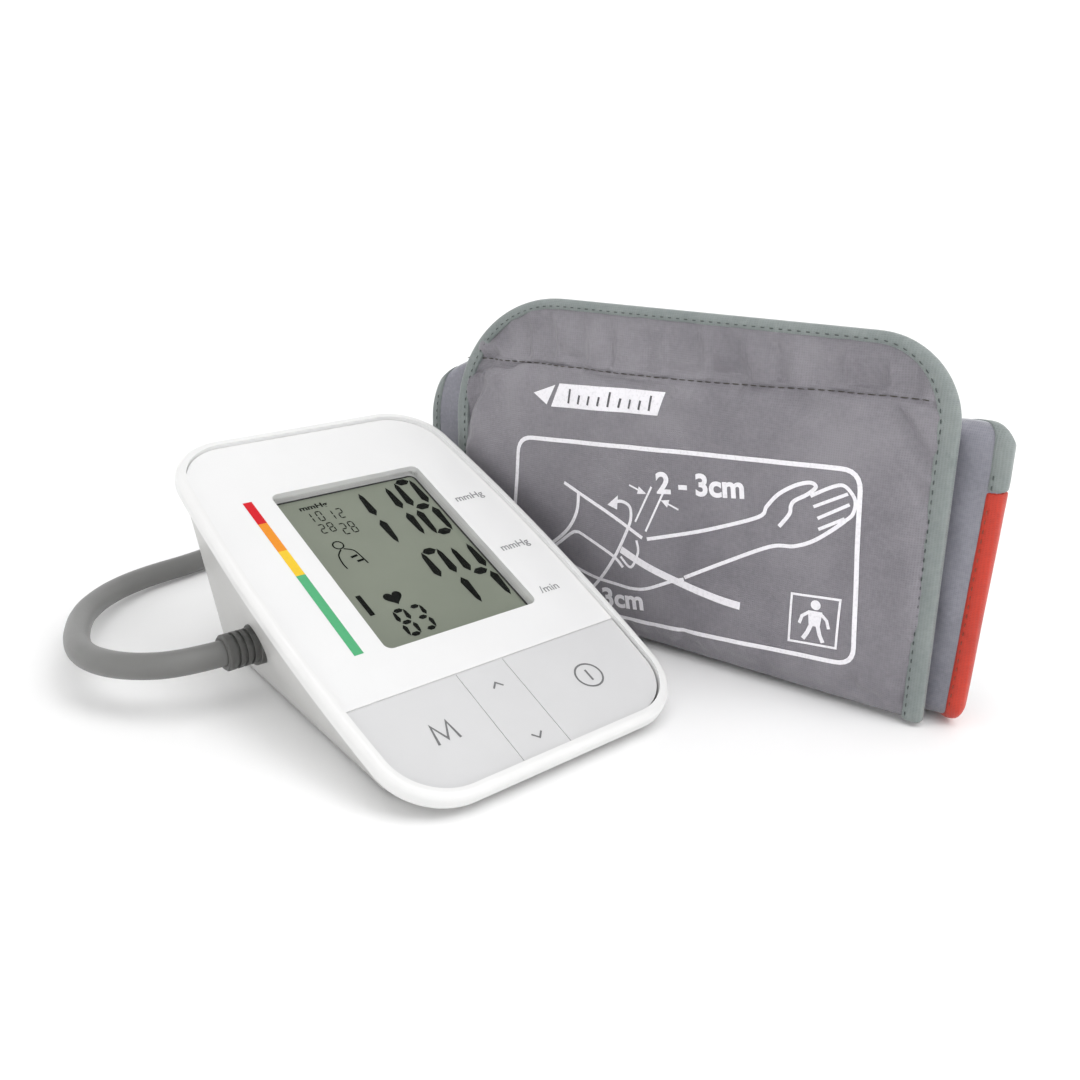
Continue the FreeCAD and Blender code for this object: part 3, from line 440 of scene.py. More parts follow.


# the display: figures and small marks on the liquid crystal, seen through the window, and painted shade
# round its edge
displayFit = {
    "out": -4.14,
    "figures": [  # text, left, low, width, height, bar
        ("1", 4.0, 56.6, 1.6, 28.2, 2.9), ("1", 14.4, 57.4, 1.6, 27.4, 2.9),
        ("8", 18.6, 56.2, 9.0, 29.8, 2.9),
        ("7", 8.2, 23.6, 8.8, 28.6, 2.9), ("4", 19.0, 23.0, 9.0, 28.0, 2.9),
        ("8", -13.8, 20.0, 5.2, 11.8, 1.6), ("3", -8.0, 20.4, 5.0, 11.2, 1.6),
        ("1", -15.2, 74.9, 1.0, 5.0, 0.5), ("0", -13.2, 74.9, 2.2, 5.0, 0.5),
        ("2", -15.4, 69.2, 2.2, 4.6, 0.5), ("8", -12.4, 69.2, 2.2, 4.6, 0.5),
        ("1", -8.0, 74.2, 1.0, 5.0, 0.5), ("2", -6.2, 74.2, 2.2, 5.0, 0.5),
        ("2", -8.8, 66.6, 2.2, 5.6, 0.5), ("8", -5.8, 66.6, 2.2, 5.6, 0.5),
    ],
    "gap": 0.12,  # between bars, as a share of their width
    "thin": 0.62,  # width of an upright at the figure's head and foot
    "unit": ("mmHg", -17.0, 81.4, 2.1),
    # a dark frame round the display's edge: painted shade of the window's recess
    "shadeFrame": (-25.1, 28.8, 15.3, 86.8, 2.2, 0.9),  # left, right, low, high, corner, width
    "heart": (-9.5, 36.4, 3.1),
}
barsOf = {"0": "abcdef", "1": "bc", "2": "abged", "3": "abgcd", "4": "fgbc", "7": "fabc", "8": "abcdefg"}


def figure(text, left, low, width, height, bar):
    # one seven-bar figure with pointed bar ends
    gap = bar * displayFit["gap"]
    right, top, middle = left + width, low + height, low + height / 2
    half = bar / 2

    def level(y):
        return [(left + half + gap, y), (left + bar + gap, y + half), (right - bar - gap, y + half),
                (right - half - gap, y), (right - bar - gap, y - half), (left + bar + gap, y - half)]

    def upright(x, bottom, upper):
        # full at the waist of the figure, thinner at its head and foot
        thin = displayFit["thin"]
        foot, head = (thin, 1) if bottom == low else (1, thin)
        footY, headY = bottom + bar + gap, upper - bar - gap
        return [(x, bottom + half * 0.5 + gap), (x + half * foot, footY), (x + half * head, headY),
                (x, upper - half * 0.5 - gap), (x - half * head, headY), (x - half * foot, footY)]

    if text == "1":
        return [upright(left + half, low, middle), upright(left + half, middle, top)]
    bars = {"a": level(top - half), "g": level(middle), "d": level(low + half),
            "f": upright(left + half, middle, top), "b": upright(right - half, middle, top),
            "e": upright(left + half, low, middle), "c": upright(right - half, low, middle)}
    return [bars[letter] for letter in barsOf[text]]


def roundedQuad(corners, radius):
    # four corners, each turned into a soft bend
    line = []
    count = len(corners)
    for i in range(count):
        corner = Vector(corners[i])
        before = corner + (Vector(corners[i - 1]) - corner).normalized() * radius
        after = corner + (Vector(corners[(i + 1) % count]) - corner).normalized() * radius
        for step in range(7):
            t = step / 6
            line.append(tuple(before.lerp(corner, t).lerp(corner.lerp(after, t), t)))
    return line


def heartOutline(x, y, size, steps=28):
    heart = []
    for i in range(steps):
        t = math.tau * i / steps
        up = 13 * math.cos(t) - 5 * math.cos(2 * t) - 2 * math.cos(3 * t) - math.cos(4 * t)
        heart.append((x + size * math.sin(t) ** 3, y + size * up / 16))
    return heart


def makeDisplay():
    outlines = []
    for entry in displayFit["figures"]:
        outlines += figure(*entry)
    text, left, low, height = displayFit["unit"]
    outlines += lettering(text, left, low, height, bold=0.03, stretch=1.25)
    outlines.append(heartOutline(*displayFit["heart"]))
    outlines += stroke([(-19.4, 40.9), (-19.2, 32.0)], 1.7)
    # a small seated figure with an arm rest
    outlines += ring(-13.6, 63.0, 1.7, 0.5)
    for back in ([(-13.8, 60.9), (-15.8, 58.6), (-16.4, 55.0), (-16.2, 52.4)],
                 [(-12.8, 61.0), (-10.4, 59.6), (-9.6, 57.6), (-8.8, 52.6)]):
        outlines += stroke(smoothLine(back), 0.5)
    outlines += stroke([(-12.6, 56.6), (-10.2, 57.0)], 0.9)
    outlines += stroke([(-11.6, 54.4), (-9.4, 54.6)], 0.9)
    printOn("displayFigures", outlines, onFace(displayFit["out"]), digitInk, setBody, "lcd")
    # painted shade: a dark frame printed round the display's edge, standing in for the shadow of the
    # window's recess
    left, right, low, high, corner, wide = displayFit["shadeFrame"]
    edge = roundedQuad([(left, low), (left, high), (right, high), (right, low)], corner)
    shadeFrame = stroke(edge, wide, closed=True)
    printOn("displayEdgeShade", shadeFrame, onFace(displayFit["out"]), edgeShadeInk, setBody, "lcd")


makeDisplay()

# prints on the white face: the pressure scale and three unit labels
scaleFit = {"left": -35, "right": -32, "stops": (86, 75.4, 62.2, 50.9, 16.6)}
scaleColours = {"scaleRed": (0.6, 0.006, 0.015), "scaleOrange": (0.78, 0.27, 0.018),
                "scaleYellow": (0.82, 0.54, 0.03), "scaleGreen": (0.085, 0.4, 0.185)}
printOut = 0.05  # prints stand this far out of the face and the keys
for (name, colour), top, low in zip(scaleColours.items(), scaleFit["stops"], scaleFit["stops"][1:]):
    left, right = scaleFit["left"], scaleFit["right"]
    box = [(left, low), (right, low), (right, top), (left, top)]
    scaleInk = inkFinish(name, colour, 0.35, 0.05, 0.25)
    printOn(name, [box], onFace(printOut), scaleInk, setBody, "panel_white")
labelFit = [("mmHg", 32.2, 65.2, 2.9), ("mmHg", 32.6, 38.8, 2.9), ("/min", 33.0, 17.6, 2.9)]
labels = []
for text, left, low, height in labelFit:
    labels += lettering(text, left, low, height, bold=0.01)
printOn("faceLabels", labels, onFace(printOut), faintInk, setBody, "panel_white")

# prints on the keys
keyFit = {"memory": (-30.2, -19.7, 6.4), "power": (24.8, -16.2, 4.3),
          "up": (-3.4, -8.3), "down": (-3.4, -28.0)}
left, low, height = keyFit["memory"]
memoryMark = stroke([(left, low), (left + 0.9, low + height), (left + 3.4, low + 1.0),
                     (left + 5.9, low + height), (left + 6.8, low)], 0.78)
printOn("memoryMark", memoryMark, onFace(printOut), labelInk, "memory_key", "key_grey")
x, y, radius = keyFit["power"]
powerMark = ring(x, y, radius, 0.6) + stroke([(x, y - 2.1), (x, y + 2.1)], 0.7)
printOn("powerMark", powerMark, onFace(printOut), labelInk, "start_key", "key_grey")
rockerMarks = []
for (x, y), side in ((keyFit["up"], 1), (keyFit["down"], -1)):
    foot = y - 0.9 * side
    rockerMarks += stroke([(x - 1.7, foot), (x, y + 0.9 * side), (x + 1.7, foot)], 0.55)
printOn("rockerMarks", rockerMarks, onFace(printOut), labelInk, "rocker_key", "key_grey")
# a pale web that closes the narrow gaps between the keys and the face, just under their tops
webFit = {
    "out": -0.12, "wide": 0.24,
    "lines": [[(-12.4, -34.1), (-12.4, -0.3)], [(3.9, -34.1), (3.9, -0.3)],
              [(-47.2, -0.2), (47.2, -0.2)]],
}
webs = []
for line in webFit["lines"]:
    webs += stroke(line, webFit["wide"])
printOn("keyWeb", webs, onFace(webFit["out"]), keyPlastic, setBody, "key_grey")
print("display and prints made")


# the cuff's flap: padded cloth with two rounded top corners
flapFit = {
    "width": 176, "low": 0.8, "high": 112, "leftRound": 46, "rightRound": 24,
    "front": 0.9, "back": 4.5, "step": 1.9,
    "seamLeft": 88.7, "seamRight": 95.4, "seamWave": 0.5, "seamLift": 0.9,
    "growth": 0.11, "pressure": 2.4, "frames": 26, "mostMove": 2.6, "pucker": 0.95,
}


def roundedCorners(u, z, left, right, high, fit):
    # slide points of a plain rectangle into its rounded top corners
    for radius, towards in ((fit["leftRound"], -1), (fit["rightRound"], 1)):
        inside = left + radius if towards < 0 else right - radius
        across = (u - inside) * towards / radius
        up = (z - (high - radius)) / radius
        if across > 0 and up > 0:
            return (inside + towards * radius * across * math.sqrt(1 - up * up / 2),
                    high - radius + radius * up * math.sqrt(1 - across * across / 2))
    return u, z


def seamHeight(u):
    # the seam rises to the right and wanders a little
    fit = flapFit
    share = u / fit["width"]
    rise = fit["seamRight"] - fit["seamLeft"]
    return fit["seamLeft"] + rise * share + fit["seamWave"] * math.sin(share * 9)


def flapMesh():
    fit = flapFit
    columns = round(fit["width"] / fit["step"])
    tall = fit["high"] - fit["low"]
    rows = round(tall / fit["step"])
    seamRow = round((seamHeight(0) / 2 + seamHeight(fit["width"]) / 2 - fit["low"]) / fit["step"])
    seamRowHeight = fit["low"] + tall * seamRow / rows
    mesh = bmesh.new()
    sheets = {}
    held = []
    for side in ("front", "back"):
        for i in range(columns + 1):
            for j in range(rows + 1):
                u = fit["width"] * i / columns
                z = fit["low"] + tall * j / rows
                z += (seamHeight(u) - seamRowHeight) * max(0, 1 - abs(j - seamRow) / 8)
                u, z = roundedCorners(u, z, 0, fit["width"], fit["high"], fit)
                edge = min(i, columns - i, j, rows - j)
                if edge == 0 and side == "back":
                    sheets[side, i, j] = sheets["front", i, j]
                    continue
                d = fit[side]
                if edge == 0:
                    d = (fit["front"] + fit["back"]) / 2
                if side == "front" and j == seamRow and edge:
                    d += fit["seamLift"]
                vert = mesh.verts.new((u, d, z))
                sheets[side, i, j] = vert
                if edge <= 2 or side == "back" or j == seamRow:
                    held.append(vert)
    for side in ("front", "back"):
        for i in range(columns):
            for j in range(rows):
                corners = [sheets[side, i, j], sheets[side, i + 1, j],
                           sheets[side, i + 1, j + 1], sheets[side, i, j + 1]]
                mesh.faces.new(corners if side == "front" else corners[::-1])
    mesh.verts.index_update()
    return mesh, [vert.index for vert in held]


def puckers(u, z):
    # gathers that run across the seam and under the tape, strongest in the narrow part above the seam
    fit = flapFit
    edge = min(u, fit["width"] - u, fit["high"] - z, z - fit["low"])
    if edge < 4:
        return 0
    fromSeam = z - seamHeight(u)
    pull = math.exp(-(fromSeam / 6) ** 2) * (0.5 if fromSeam < 0 else 1)
    if fromSeam > 0:
        pull = max(pull, 0.75)
    pull = max(pull, 0.45 * math.exp(-edge / 7))
    ripple = noise.noise(Vector((u * 0.13 + z * 0.06, 11, z * 0.07)))
    ripple += 0.5 * noise.noise(Vector((u * 0.28 - z * 0.08, 17, z * 0.13)))
    ripple += 0.6 * noise.noise(Vector((u * 0.03, 41, z * 0.24)))
    broad = 0.45 * noise.noise(Vector((u * 0.035, 23, z * 0.05)))
    tucks = 1.1 * noise.noise(Vector((u * 0.21 + z * 0.05, 31, 0))) * math.exp(-max(0, edge - 4) / 4)
    return fit["pucker"] * (pull * ripple * 1.6 + tucks) + broad


def makeFlap():
    fit = flapFit
    mesh, held = flapMesh()
    # a little unevenness to start the creases from
    for vert in mesh.verts:
        if vert.co.y < fit["front"] + 0.01:
            ripple = noise.noise(Vector((vert.co.x * 0.09, 3.1, vert.co.z * 0.05)))
            vert.co.y -= 0.35 * ripple
    data = bpy.data.meshes.new("cuffFlapCloth")
    mesh.to_mesh(data)
    mesh.free()
    data.materials.append(cuffNylon)
    piece = bpy.data.objects.new("cuffFlapCloth", data)
    bpy.context.collection.objects.link(piece)
    start = [vert.co.copy() for vert in data.vertices]
    swell(piece, held, fit)
    for vert, before in zip(piece.data.vertices, start):
        move = vert.co - before
        if move.length > fit["mostMove"]:
            vert.co = before + move * (fit["mostMove"] / move.length)
    data = piece.data
    for vert in data.vertices:
        if vert.co.y < 2.0:
            vert.co.y -= puckers(vert.co.x, vert.co.z)
    data.transform(cuffPlace)
    for polygon in data.polygons:
        polygon.use_smooth = True
    smoother = piece.modifiers.new("soften", "SUBSURF")
    smoother.levels = smoother.render_levels = 1
    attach(piece, setBody)
    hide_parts("cuff_flap")
    return piece


clothFit = {"quality": 6, "mass": 0.2, "tension": 20, "compression": 20, "bending": 0.02, "scale": 0.01}


def swell(piece, held, fit):
    # blow the padded cloth up a little between its sewn edges; the sheet is cut slightly too large,
    # so it creases
    scale = clothFit["scale"]
    piece.data.transform(Matrix.Scale(scale, 4))
    group = piece.vertex_groups.new(name="sewn")
    group.add(held, 1.0, "REPLACE")
    cloth = piece.modifiers.new("cloth", "CLOTH")
    settings = cloth.settings
    settings.quality = clothFit["quality"]
    settings.mass = clothFit["mass"]
    settings.tension_stiffness = clothFit["tension"]
    settings.compression_stiffness = clothFit["compression"]
    settings.bending_stiffness = clothFit["bending"]
    settings.vertex_group_mass = "sewn"
    settings.shrink_min = -fit["growth"]
    settings.use_pressure = True
    settings.uniform_pressure_force = fit["pressure"]
    settings.effector_weights.gravity = 0
    cloth.collision_settings.use_collision = False
    cloth.point_cache.frame_start = 1
    cloth.point_cache.frame_end = fit["frames"]
    scene = bpy.context.scene
    for number in range(1, fit["frames"] + 1):
        scene.frame_set(number)
    shaped = bpy.data.meshes.new_from_object(piece.evaluated_get(bpy.context.evaluated_depsgraph_get()))
    piece.modifiers.clear()
    piece.vertex_groups.clear()
    piece.data = shaped
    piece.data.transform(Matrix.Scale(1 / scale, 4))
    scene.frame_set(1)


flapCloth = makeFlap()
print("flap sewn and filled")


def surfaceOf(piece):
    dependency = bpy.context.evaluated_depsgraph_get()
    dependency.update()
    mesh = bmesh.new()
    mesh.from_object(piece, dependency)
    mesh.transform(piece.matrix_world)
    tree = BVHTree.FromBMesh(mesh)
    mesh.free()
    return tree


bpy.context.view_layer.update()
flapSurface = surfaceOf(flapCloth)
intoCuff = (cuffPlace.to_3x3() @ Vector((0, 1, 0))).normalized()


def onFlap(lift):
    # a point just in front of the flap's cloth
    def place(u, z):
        start = cuffPlace @ Vector((u, -20, z))
        hit = flapSurface.ray_cast(start, intoCuff, 0.05)[0]
        if hit is None:
            hit = cuffPlace @ Vector((u, flapFit["front"], z))
        return hit - intoCuff * lift * mm
    return place


# edge tape folded over the flap's edge, and its stitches
tapeFit = {"top": 2.9, "leftSide": 5.2, "rightSide": 5.4,
           "front": 0.2, "back": 4.4, "over": 0.4, "step": 2.2, "stitchIn": 1.1}


def flapOutline(step):
    # up the left side, over the top and down the right side: place, and the way out of the cloth
    width, high, low = flapFit["width"], flapFit["high"], flapFit["low"]
    left, right = flapFit["leftRound"], flapFit["rightRound"]
    points = []
    for i in range(int((high - left - low) / step)):
        points.append((0, low + i * step, -1, 0))
    turns = round(left * 1.57 / step)
    for i in range(turns):
        a = math.pi / 2 * i / turns
        across, up = -math.cos(a), math.sin(a)
        points.append((left + left * across, high - left + left * up, across, up))
    flats = round((width - left - right) / step)
    for i in range(flats):
        points.append((left + (width - left - right) * i / flats, high, 0, 1))
    turns = round(right * 1.57 / step)
    for i in range(turns):
        a = math.pi / 2 * i / turns
        across, up = math.sin(a), math.cos(a)
        points.append((width - right + right * across, high - right + right * up, across, up))
    flats = round((high - right - low) / step)
    for i in range(flats + 1):
        points.append((width, high - right - (high - right - low) * i / flats, 1, 0))
    return points


def tapeWidth(u, across, up):
    side = tapeFit["leftSide"] if u < flapFit["width"] / 2 else tapeFit["rightSide"]
    return tapeFit["top"] * up * up + side * across * across


def flapTapeMesh():
    fit = tapeFit
    mesh = bmesh.new()
    rings = []
    for number, (u, z, across, up) in enumerate(flapOutline(fit["step"])):
        wide = tapeWidth(u, across, up) + 0.25 * noise.noise(Vector((number * 0.4, 0, 0)))
        wave = 0.22 * noise.noise(Vector((number * 0.55, 5, 0)))
        front, back = fit["front"] + wave, fit["back"]
        profile = [(wide, front + 0.6), (wide - 0.1, front + 0.1), (wide * 0.6, front - 0.1),
                   (0.9, front + 0.15), (0.1, front + 0.6), (-fit["over"], front + 1.4),
                   (-fit["over"], back - 1.4), (0.1, back - 0.6), (0.9, back - 0.2),
                   (wide * 0.6, back), (wide, back - 0.3), (wide, 2.4)]
        rings.append([mesh.verts.new((u - across * inset, d, z - up * inset)) for inset, d in profile])
    joinRings(mesh, rings, closed=False)
    mesh.transform(cuffPlace)
    return mesh


def joinRings(mesh, rings, closed):
    count = len(rings[0])
    pairs = list(zip(rings, rings[1:])) + ([(rings[-1], rings[0])] if closed else [])
    for a, b in pairs:
        for k in range(count):
            mesh.faces.new([a[k], b[k], b[(k + 1) % count], a[(k + 1) % count]])
    if not closed:
        mesh.faces.new(rings[0])
        mesh.faces.new(rings[-1][::-1])
    bmesh.ops.recalc_face_normals(mesh, faces=mesh.faces[:])


flapTape = finishPiece("flapEdgeTape", flapTapeMesh(), edgeTape, slot="binding")
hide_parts("flap_binding")
softener = flapTape.modifiers.new("soften", "SUBSURF")
softener.levels = softener.render_levels = 1


def addStitch(mesh, start, end, out, thick):
    # one stitch: a short bowed thread, thin where it goes into the cloth
    way = (end - start).normalized()
    side = way.cross(out).normalized()
    shape = ((0, 0.35, -0.3), (0.18, 0.9, 0.35), (0.5, 1, 0.6), (0.82, 0.9, 0.35), (1, 0.35, -0.3))
    rings = []
    for share, size, rise in shape:
        middle = start.lerp(end, share) + out * rise * thick
        ways = [side * math.cos(a) + out * math.sin(a) for a in (math.tau * k / 6 for k in range(6))]
        rings.append([mesh.verts.new(middle + turned * thick * size / 2) for turned in ways])
    for a, b in zip(rings, rings[1:]):
        for k in range(6):
            mesh.faces.new([a[k], b[k], b[(k + 1) % 6], a[(k + 1) % 6]])


seamThread = (3.0, 2.3, 0.36)  # pitch, length and thickness of a stitch
edgeThread = (2.8, 1.3, 0.36)


def stitchLine(name, points, out, finish, thread):
    # stitches along a line of points in the set
    pitch, length, thick = thread
    mesh = bmesh.new()
    travelled = 0.0
    marks = []
    for a, b in zip(points, points[1:]):
        run = (b - a).length
        while len(marks) * pitch * mm <= travelled + run and run > 0:
            marks.append(a.lerp(b, (len(marks) * pitch * mm - travelled) / run))
        travelled += run
    for a, b in zip(marks, marks[1:]):
        addStitch(mesh, a, a.lerp(b, length / pitch), out, thick * mm)
    bmesh.ops.recalc_face_normals(mesh, faces=mesh.faces[:])
    return finishPiece(name, mesh, finish, slot="binding")


seamLine = [onFlap(0.05)(5.5 + i, seamHeight(5.5 + i)) for i in range(165)]
stitchLine("seamStitches", seamLine, -intoCuff, darkThread, seamThread)
tapeLine = []
for u, z, across, up in flapOutline(2.5):
    inset = tapeWidth(u, across, up) - tapeFit["stitchIn"]
    tapeLine.append(cuffPlace @ Vector((u - across * inset, tapeFit["front"] - 0.05, z - up * inset)))
stitchLine("flapTapeStitches", tapeLine, -intoCuff, tapeThread, edgeThread)

# prints on the flap: pointer label, frame, arm drawing, distances and the applied-part sign
printFit = {
    "frame": [(30.5, 65), (152, 74), (155.6, 14.8), (26, 5)], "frameRound": 6, "line": 1.45,
    "sign": [(134.9, 32.9), (149.9, 34.4), (149.8, 18.9), (134.9, 17.4)],
    "lift": 0.16, "step": 2.2,
}
# the short marks on the pointer label
tickFit = {"count": 9, "left": 51, "low": 79.2, "pitch": 3.9, "rise": 0.06, "tall": 4.8, "short": 3.0,
           "lean": 0.5, "line": 0.75, "lift": 0.24}


# the arm drawing: soft lines, each with its width
armLines = [
    (1.2, [(55.8, 49.2), (55.2, 42.5), (51.4, 35.4), (43.5, 28.1), (36.5, 24)]),
    (1.1, [(38, 24), (45.7, 28.2), (52.5, 34), (55.2, 35.5), (58.6, 34.9), (70.3, 30.2), (74.5, 27)]),
    (1.1, [(49.2, 24), (62.8, 21), (71.8, 20.4), (78.6, 20.4), (84.3, 21.8), (92.7, 26.2),
           (97.6, 28.3)]),
    (1.2, [(97.8, 28.9), (112, 37.5), (126.6, 45.9), (134, 47.6), (139.7, 50.4), (145.2, 54.9),
           (149, 58.6)]),
    (1.2, [(83.4, 38.9), (96, 43.2), (107.8, 47.8), (122.2, 54.4), (124.6, 58.2), (128, 62.6),
           (133, 66.2), (137.4, 67.8), (139.2, 66.8), (136.9, 64.2), (133.2, 61.6),
           (132.2, 59.8), (131.9, 57.2), (129, 52.8)]),
    (1.1, [(137.8, 63.8), (143.5, 67.4), (147.2, 68.8), (149.8, 67.2), (151.4, 64.6), (151, 61),
           (149, 58.6)]),
]
hoseLines = [
    (2.5, [(73.4, 33.1), (85.7, 28.9), (97.8, 26.4), (109.2, 24.6), (117.9, 24.2)]),
    (1.1, [(68.9, 48.4), (72.9, 49.6), (76.2, 48.4), (76.8, 44.6), (75.6, 40.4), (71.6, 31),
           (66.6, 22.4), (61.5, 15.6)]),
    (0.9, [(79.4, 37.6), (80.2, 33.6), (77.6, 27.8), (73.4, 30.6)]),
]
fingerLines = [[(139, 60.8), (149, 66.6)], [(140.6, 57.6), (149.8, 63.6)],
               [(141.2, 54.4), (148.8, 59.2)]]


def armDrawing():
    shapes = stroke([(49.8, 51.9), (66, 45.4), (81.6, 38.9)], 1.2)
    for width, points in armLines:
        shapes += stroke(smoothLine(points), width)
    for points in fingerLines:
        shapes += stroke(points, 1.0)
    for width, points in hoseLines:
        shapes += stroke(smoothLine(points), width)
    # arrow heads and the two lines of the distance mark
    shapes += [[(67.4, 47.4), (71.4, 51.4), (71.2, 46.4)]]
    shapes += stroke([(84.4, 56.8), (78.6, 43.8)], 0.7) + stroke([(88.6, 55.4), (82.8, 41.4)], 0.7)
    shapes += stroke([(75.8, 55.8), (80, 54.7)], 0.6) + [[(82.6, 54.1), (79.6, 56.1), (79, 53.4)]]
    shapes += stroke([(94.4, 51.0), (90.4, 52.2)], 0.6) + [[(87.9, 52.9), (91, 53.6), (90.3, 50.9)]]
    return shapes


def signDrawing():
    shapes = stroke(printFit["sign"], 0.75, closed=True)
    shapes += disc(142.6, 31, 1.55)
    shapes += [[(140.4, 28.9), (144.9, 29.2), (144.4, 24.2), (140.9, 24)]]
    shapes += stroke([(140.8, 28.4), (138.6, 26.6), (137.9, 24)], 1.0)
    shapes += stroke([(144.4, 28.6), (146.4, 26.9), (147.2, 24.4)], 1.0)
    shapes += stroke([(141.7, 24.6), (140.6, 21.6), (139.3, 19.2)], 1.3)
    shapes += stroke([(143.7, 24.6), (144.5, 21.8), (145.7, 19.5)], 1.3)
    return shapes


def makeFlapPrints():
    frameLine = roundedQuad(printFit["frame"], printFit["frameRound"])
    shapes = stroke(frameLine, printFit["line"], closed=True)
    shapes += armDrawing() + signDrawing()
    shapes += lettering("2 - 3cm", 86.4, 55.2, 6.9, 7.6, 0.035, 1.06)
    shapes += lettering("2 - 3cm", 53.4, 9.2, 6.6, 9.0, 0.035, 1.08)
    shapes += [[(47, 85.3), (87.6, 87.6), (85.4, 80), (43.9, 77.2)]]
    shapes += [[(36.4, 80.9), (45.3, 84.6), (42, 77.6)]]
    printOn("flapPrints", shapes, onFlap(printFit["lift"]), cuffInk, setBody, "cuff_cloth",
            printFit["step"])
    fit = tickFit
    ticks = []
    for number in range(fit["count"]):
        x = fit["left"] + fit["pitch"] * number
        foot = fit["low"] + fit["rise"] * (x - fit["left"])
        tall = fit["tall"] if number % 4 == 0 else fit["short"]
        ticks += stroke([(x, foot), (x + fit["lean"], foot + tall)], fit["line"])
    printOn("indexTicks", ticks, onFlap(fit["lift"]), tickInk, setBody, "cuff_cloth", printFit["step"])


makeFlapPrints()
print("flap taped, stitched and printed")

# the rolled part of the cuff behind the flap: one padded band round the arm opening
rollFit = {
    "front": 6.4, "rear": 35.8, "low": 0.25, "high": 90.4, "thick": 5.2, "corner": 6.5,
    "left": -18, "leftRear": -6, "right": 188, "rightRear": 163, "rearDrop": 7, "lean": 3.4,
    "leanTo": 75, "creaseFrom": 150, "creaseOver": 37,
    "leftRound": 28, "rightRound": 1.5, "columns": 84, "around": 96, "fold": 1.1, "markerHigh": 71.5,
}
endFit = {"left": 4.2, "right": 4.1, "grow": 0.4, "stitchIn": 1.3, "stitchTop": 80}


def roundLoop():
    # the band's middle line, as pieces: start point, length, direction or centre
    half = rollFit["thick"] / 2
    d0, d1 = rollFit["front"] + half, rollFit["rear"] - half
    z0, z1 = rollFit["low"] + half, rollFit["high"] - half
    r = rollFit["corner"] - half
    return d0, d1, z0, z1, r


def loopPoint(share):
    # share runs 0..1 from the front's foot, up the front, over the top, down the rear and
    # along the floor
    d0, d1, z0, z1, r = roundLoop()
    up, over = z1 - z0 - 2 * r, d1 - d0 - 2 * r
    arc = math.pi / 2 * r
    total = 2 * up + 2 * over + 4 * arc
    rest = (share % 1) * total
    legs = [(up, (d0, z0 + r), (0, 1), (-1, 0)), (over, (d0 + r, z1), (1, 0), (0, 1)),
            (up, (d1, z1 - r), (0, -1), (1, 0)), (over, (d1 - r, z0), (-1, 0), (0, -1))]
    centres = [(d0 + r, z1 - r), (d1 - r, z1 - r), (d1 - r, z0 + r), (d0 + r, z0 + r)]
    for (length, start, way, out), centre in zip(legs, centres):
        if rest <= length:
            return start[0] + way[0] * rest, start[1] + way[1] * rest, out[0], out[1]
        rest -= length
        if rest <= arc:
            angle = rest / r
            normal = (out[0] * math.cos(angle) + way[0] * math.sin(angle),
                      out[1] * math.cos(angle) + way[1] * math.sin(angle))
            return centre[0] + normal[0] * r, centre[1] + normal[1] * r, normal[0], normal[1]
        rest -= arc
    return d0, z0 + r, -1, 0


def rollPoint(along, share, offset):
    # along 0..1 from the left edge to the right edge; offset out of the band's middle line
    d, z, outD, outZ = loopPoint(share)
    rearness = min(1, max(0, (d - rollFit["front"] - 3) / 24))
    left = rollFit["left"] + (rollFit["leftRear"] - rollFit["left"]) * rearness
    right = rollFit["right"] + (rollFit["rightRear"] - rollFit["right"]) * rearness
    right -= rollFit["lean"] * (1 - min(1, z / rollFit["leanTo"])) * (1 - rearness)
    u = left + (right - left) * along
    seen = min(1.0, 4 * min(along, 1 - along) + 0.35)
    fold = noise.noise(Vector((u * 0.045, d * 0.05, z * 0.016)))
    fold += 0.6 * noise.noise(Vector((u * 0.13, 4, z * 0.03)))
    nearEnd = max(0, (u - rollFit["creaseFrom"]) / rollFit["creaseOver"])
    fold += 1.3 * nearEnd * noise.noise(Vector((u * 0.17 + z * 0.03, 9, z * 0.035)))
    inward = -0.4 - 0.9 * abs(fold) * rollFit["fold"] * seen
    offset += inward if outD < 0 or outZ < -0.5 else rollFit["fold"] * fold * seen
    d += outD * offset
    z = max(rollFit["low"], z + outZ * offset)
    z -= rollFit["rearDrop"] * rearness * z / rollFit["high"]
    if rearness < 1:
        u, z = roundedCorners(u, min(z, rollFit["high"]), left, right, rollFit["high"], rollFit)
    return Vector((u, d, z))


def rollMesh():
    fit = rollFit
    mesh = bmesh.new()
    half = fit["thick"] / 2
    skins = {}
    for skin, offset in (("outer", half), ("inner", -half)):
        for i in range(fit["columns"] + 1):
            for k in range(fit["around"]):
                place = rollPoint(i / fit["columns"], k / fit["around"], offset)
                skins[skin, i, k] = mesh.verts.new(cuffPlace @ place)
    for skin in ("outer", "inner"):
        for i in range(fit["columns"]):
            for k in range(fit["around"]):
                n = (k + 1) % fit["around"]
                mesh.faces.new([skins[skin, i, k], skins[skin, i + 1, k],
                                skins[skin, i + 1, n], skins[skin, i, n]])
    for i in (0, fit["columns"]):
        for k in range(fit["around"]):
            n = (k + 1) % fit["around"]
            mesh.faces.new([skins["outer", i, k], skins["outer", i, n],
                            skins["inner", i, n], skins["inner", i, k]])
    bmesh.ops.recalc_face_normals(mesh, faces=mesh.faces[:])
    return mesh


roll = finishPiece("cuffRoll", rollMesh(), liningNylon, slot="cuff_cloth")
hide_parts("cuff_inner_layer", "cuff_top_fold", "cuff_rear_layer", "cuff_bottom_fold")
smoother = roll.modifiers.new("soften", "SUBSURF")
smoother.levels = smoother.render_levels = 1


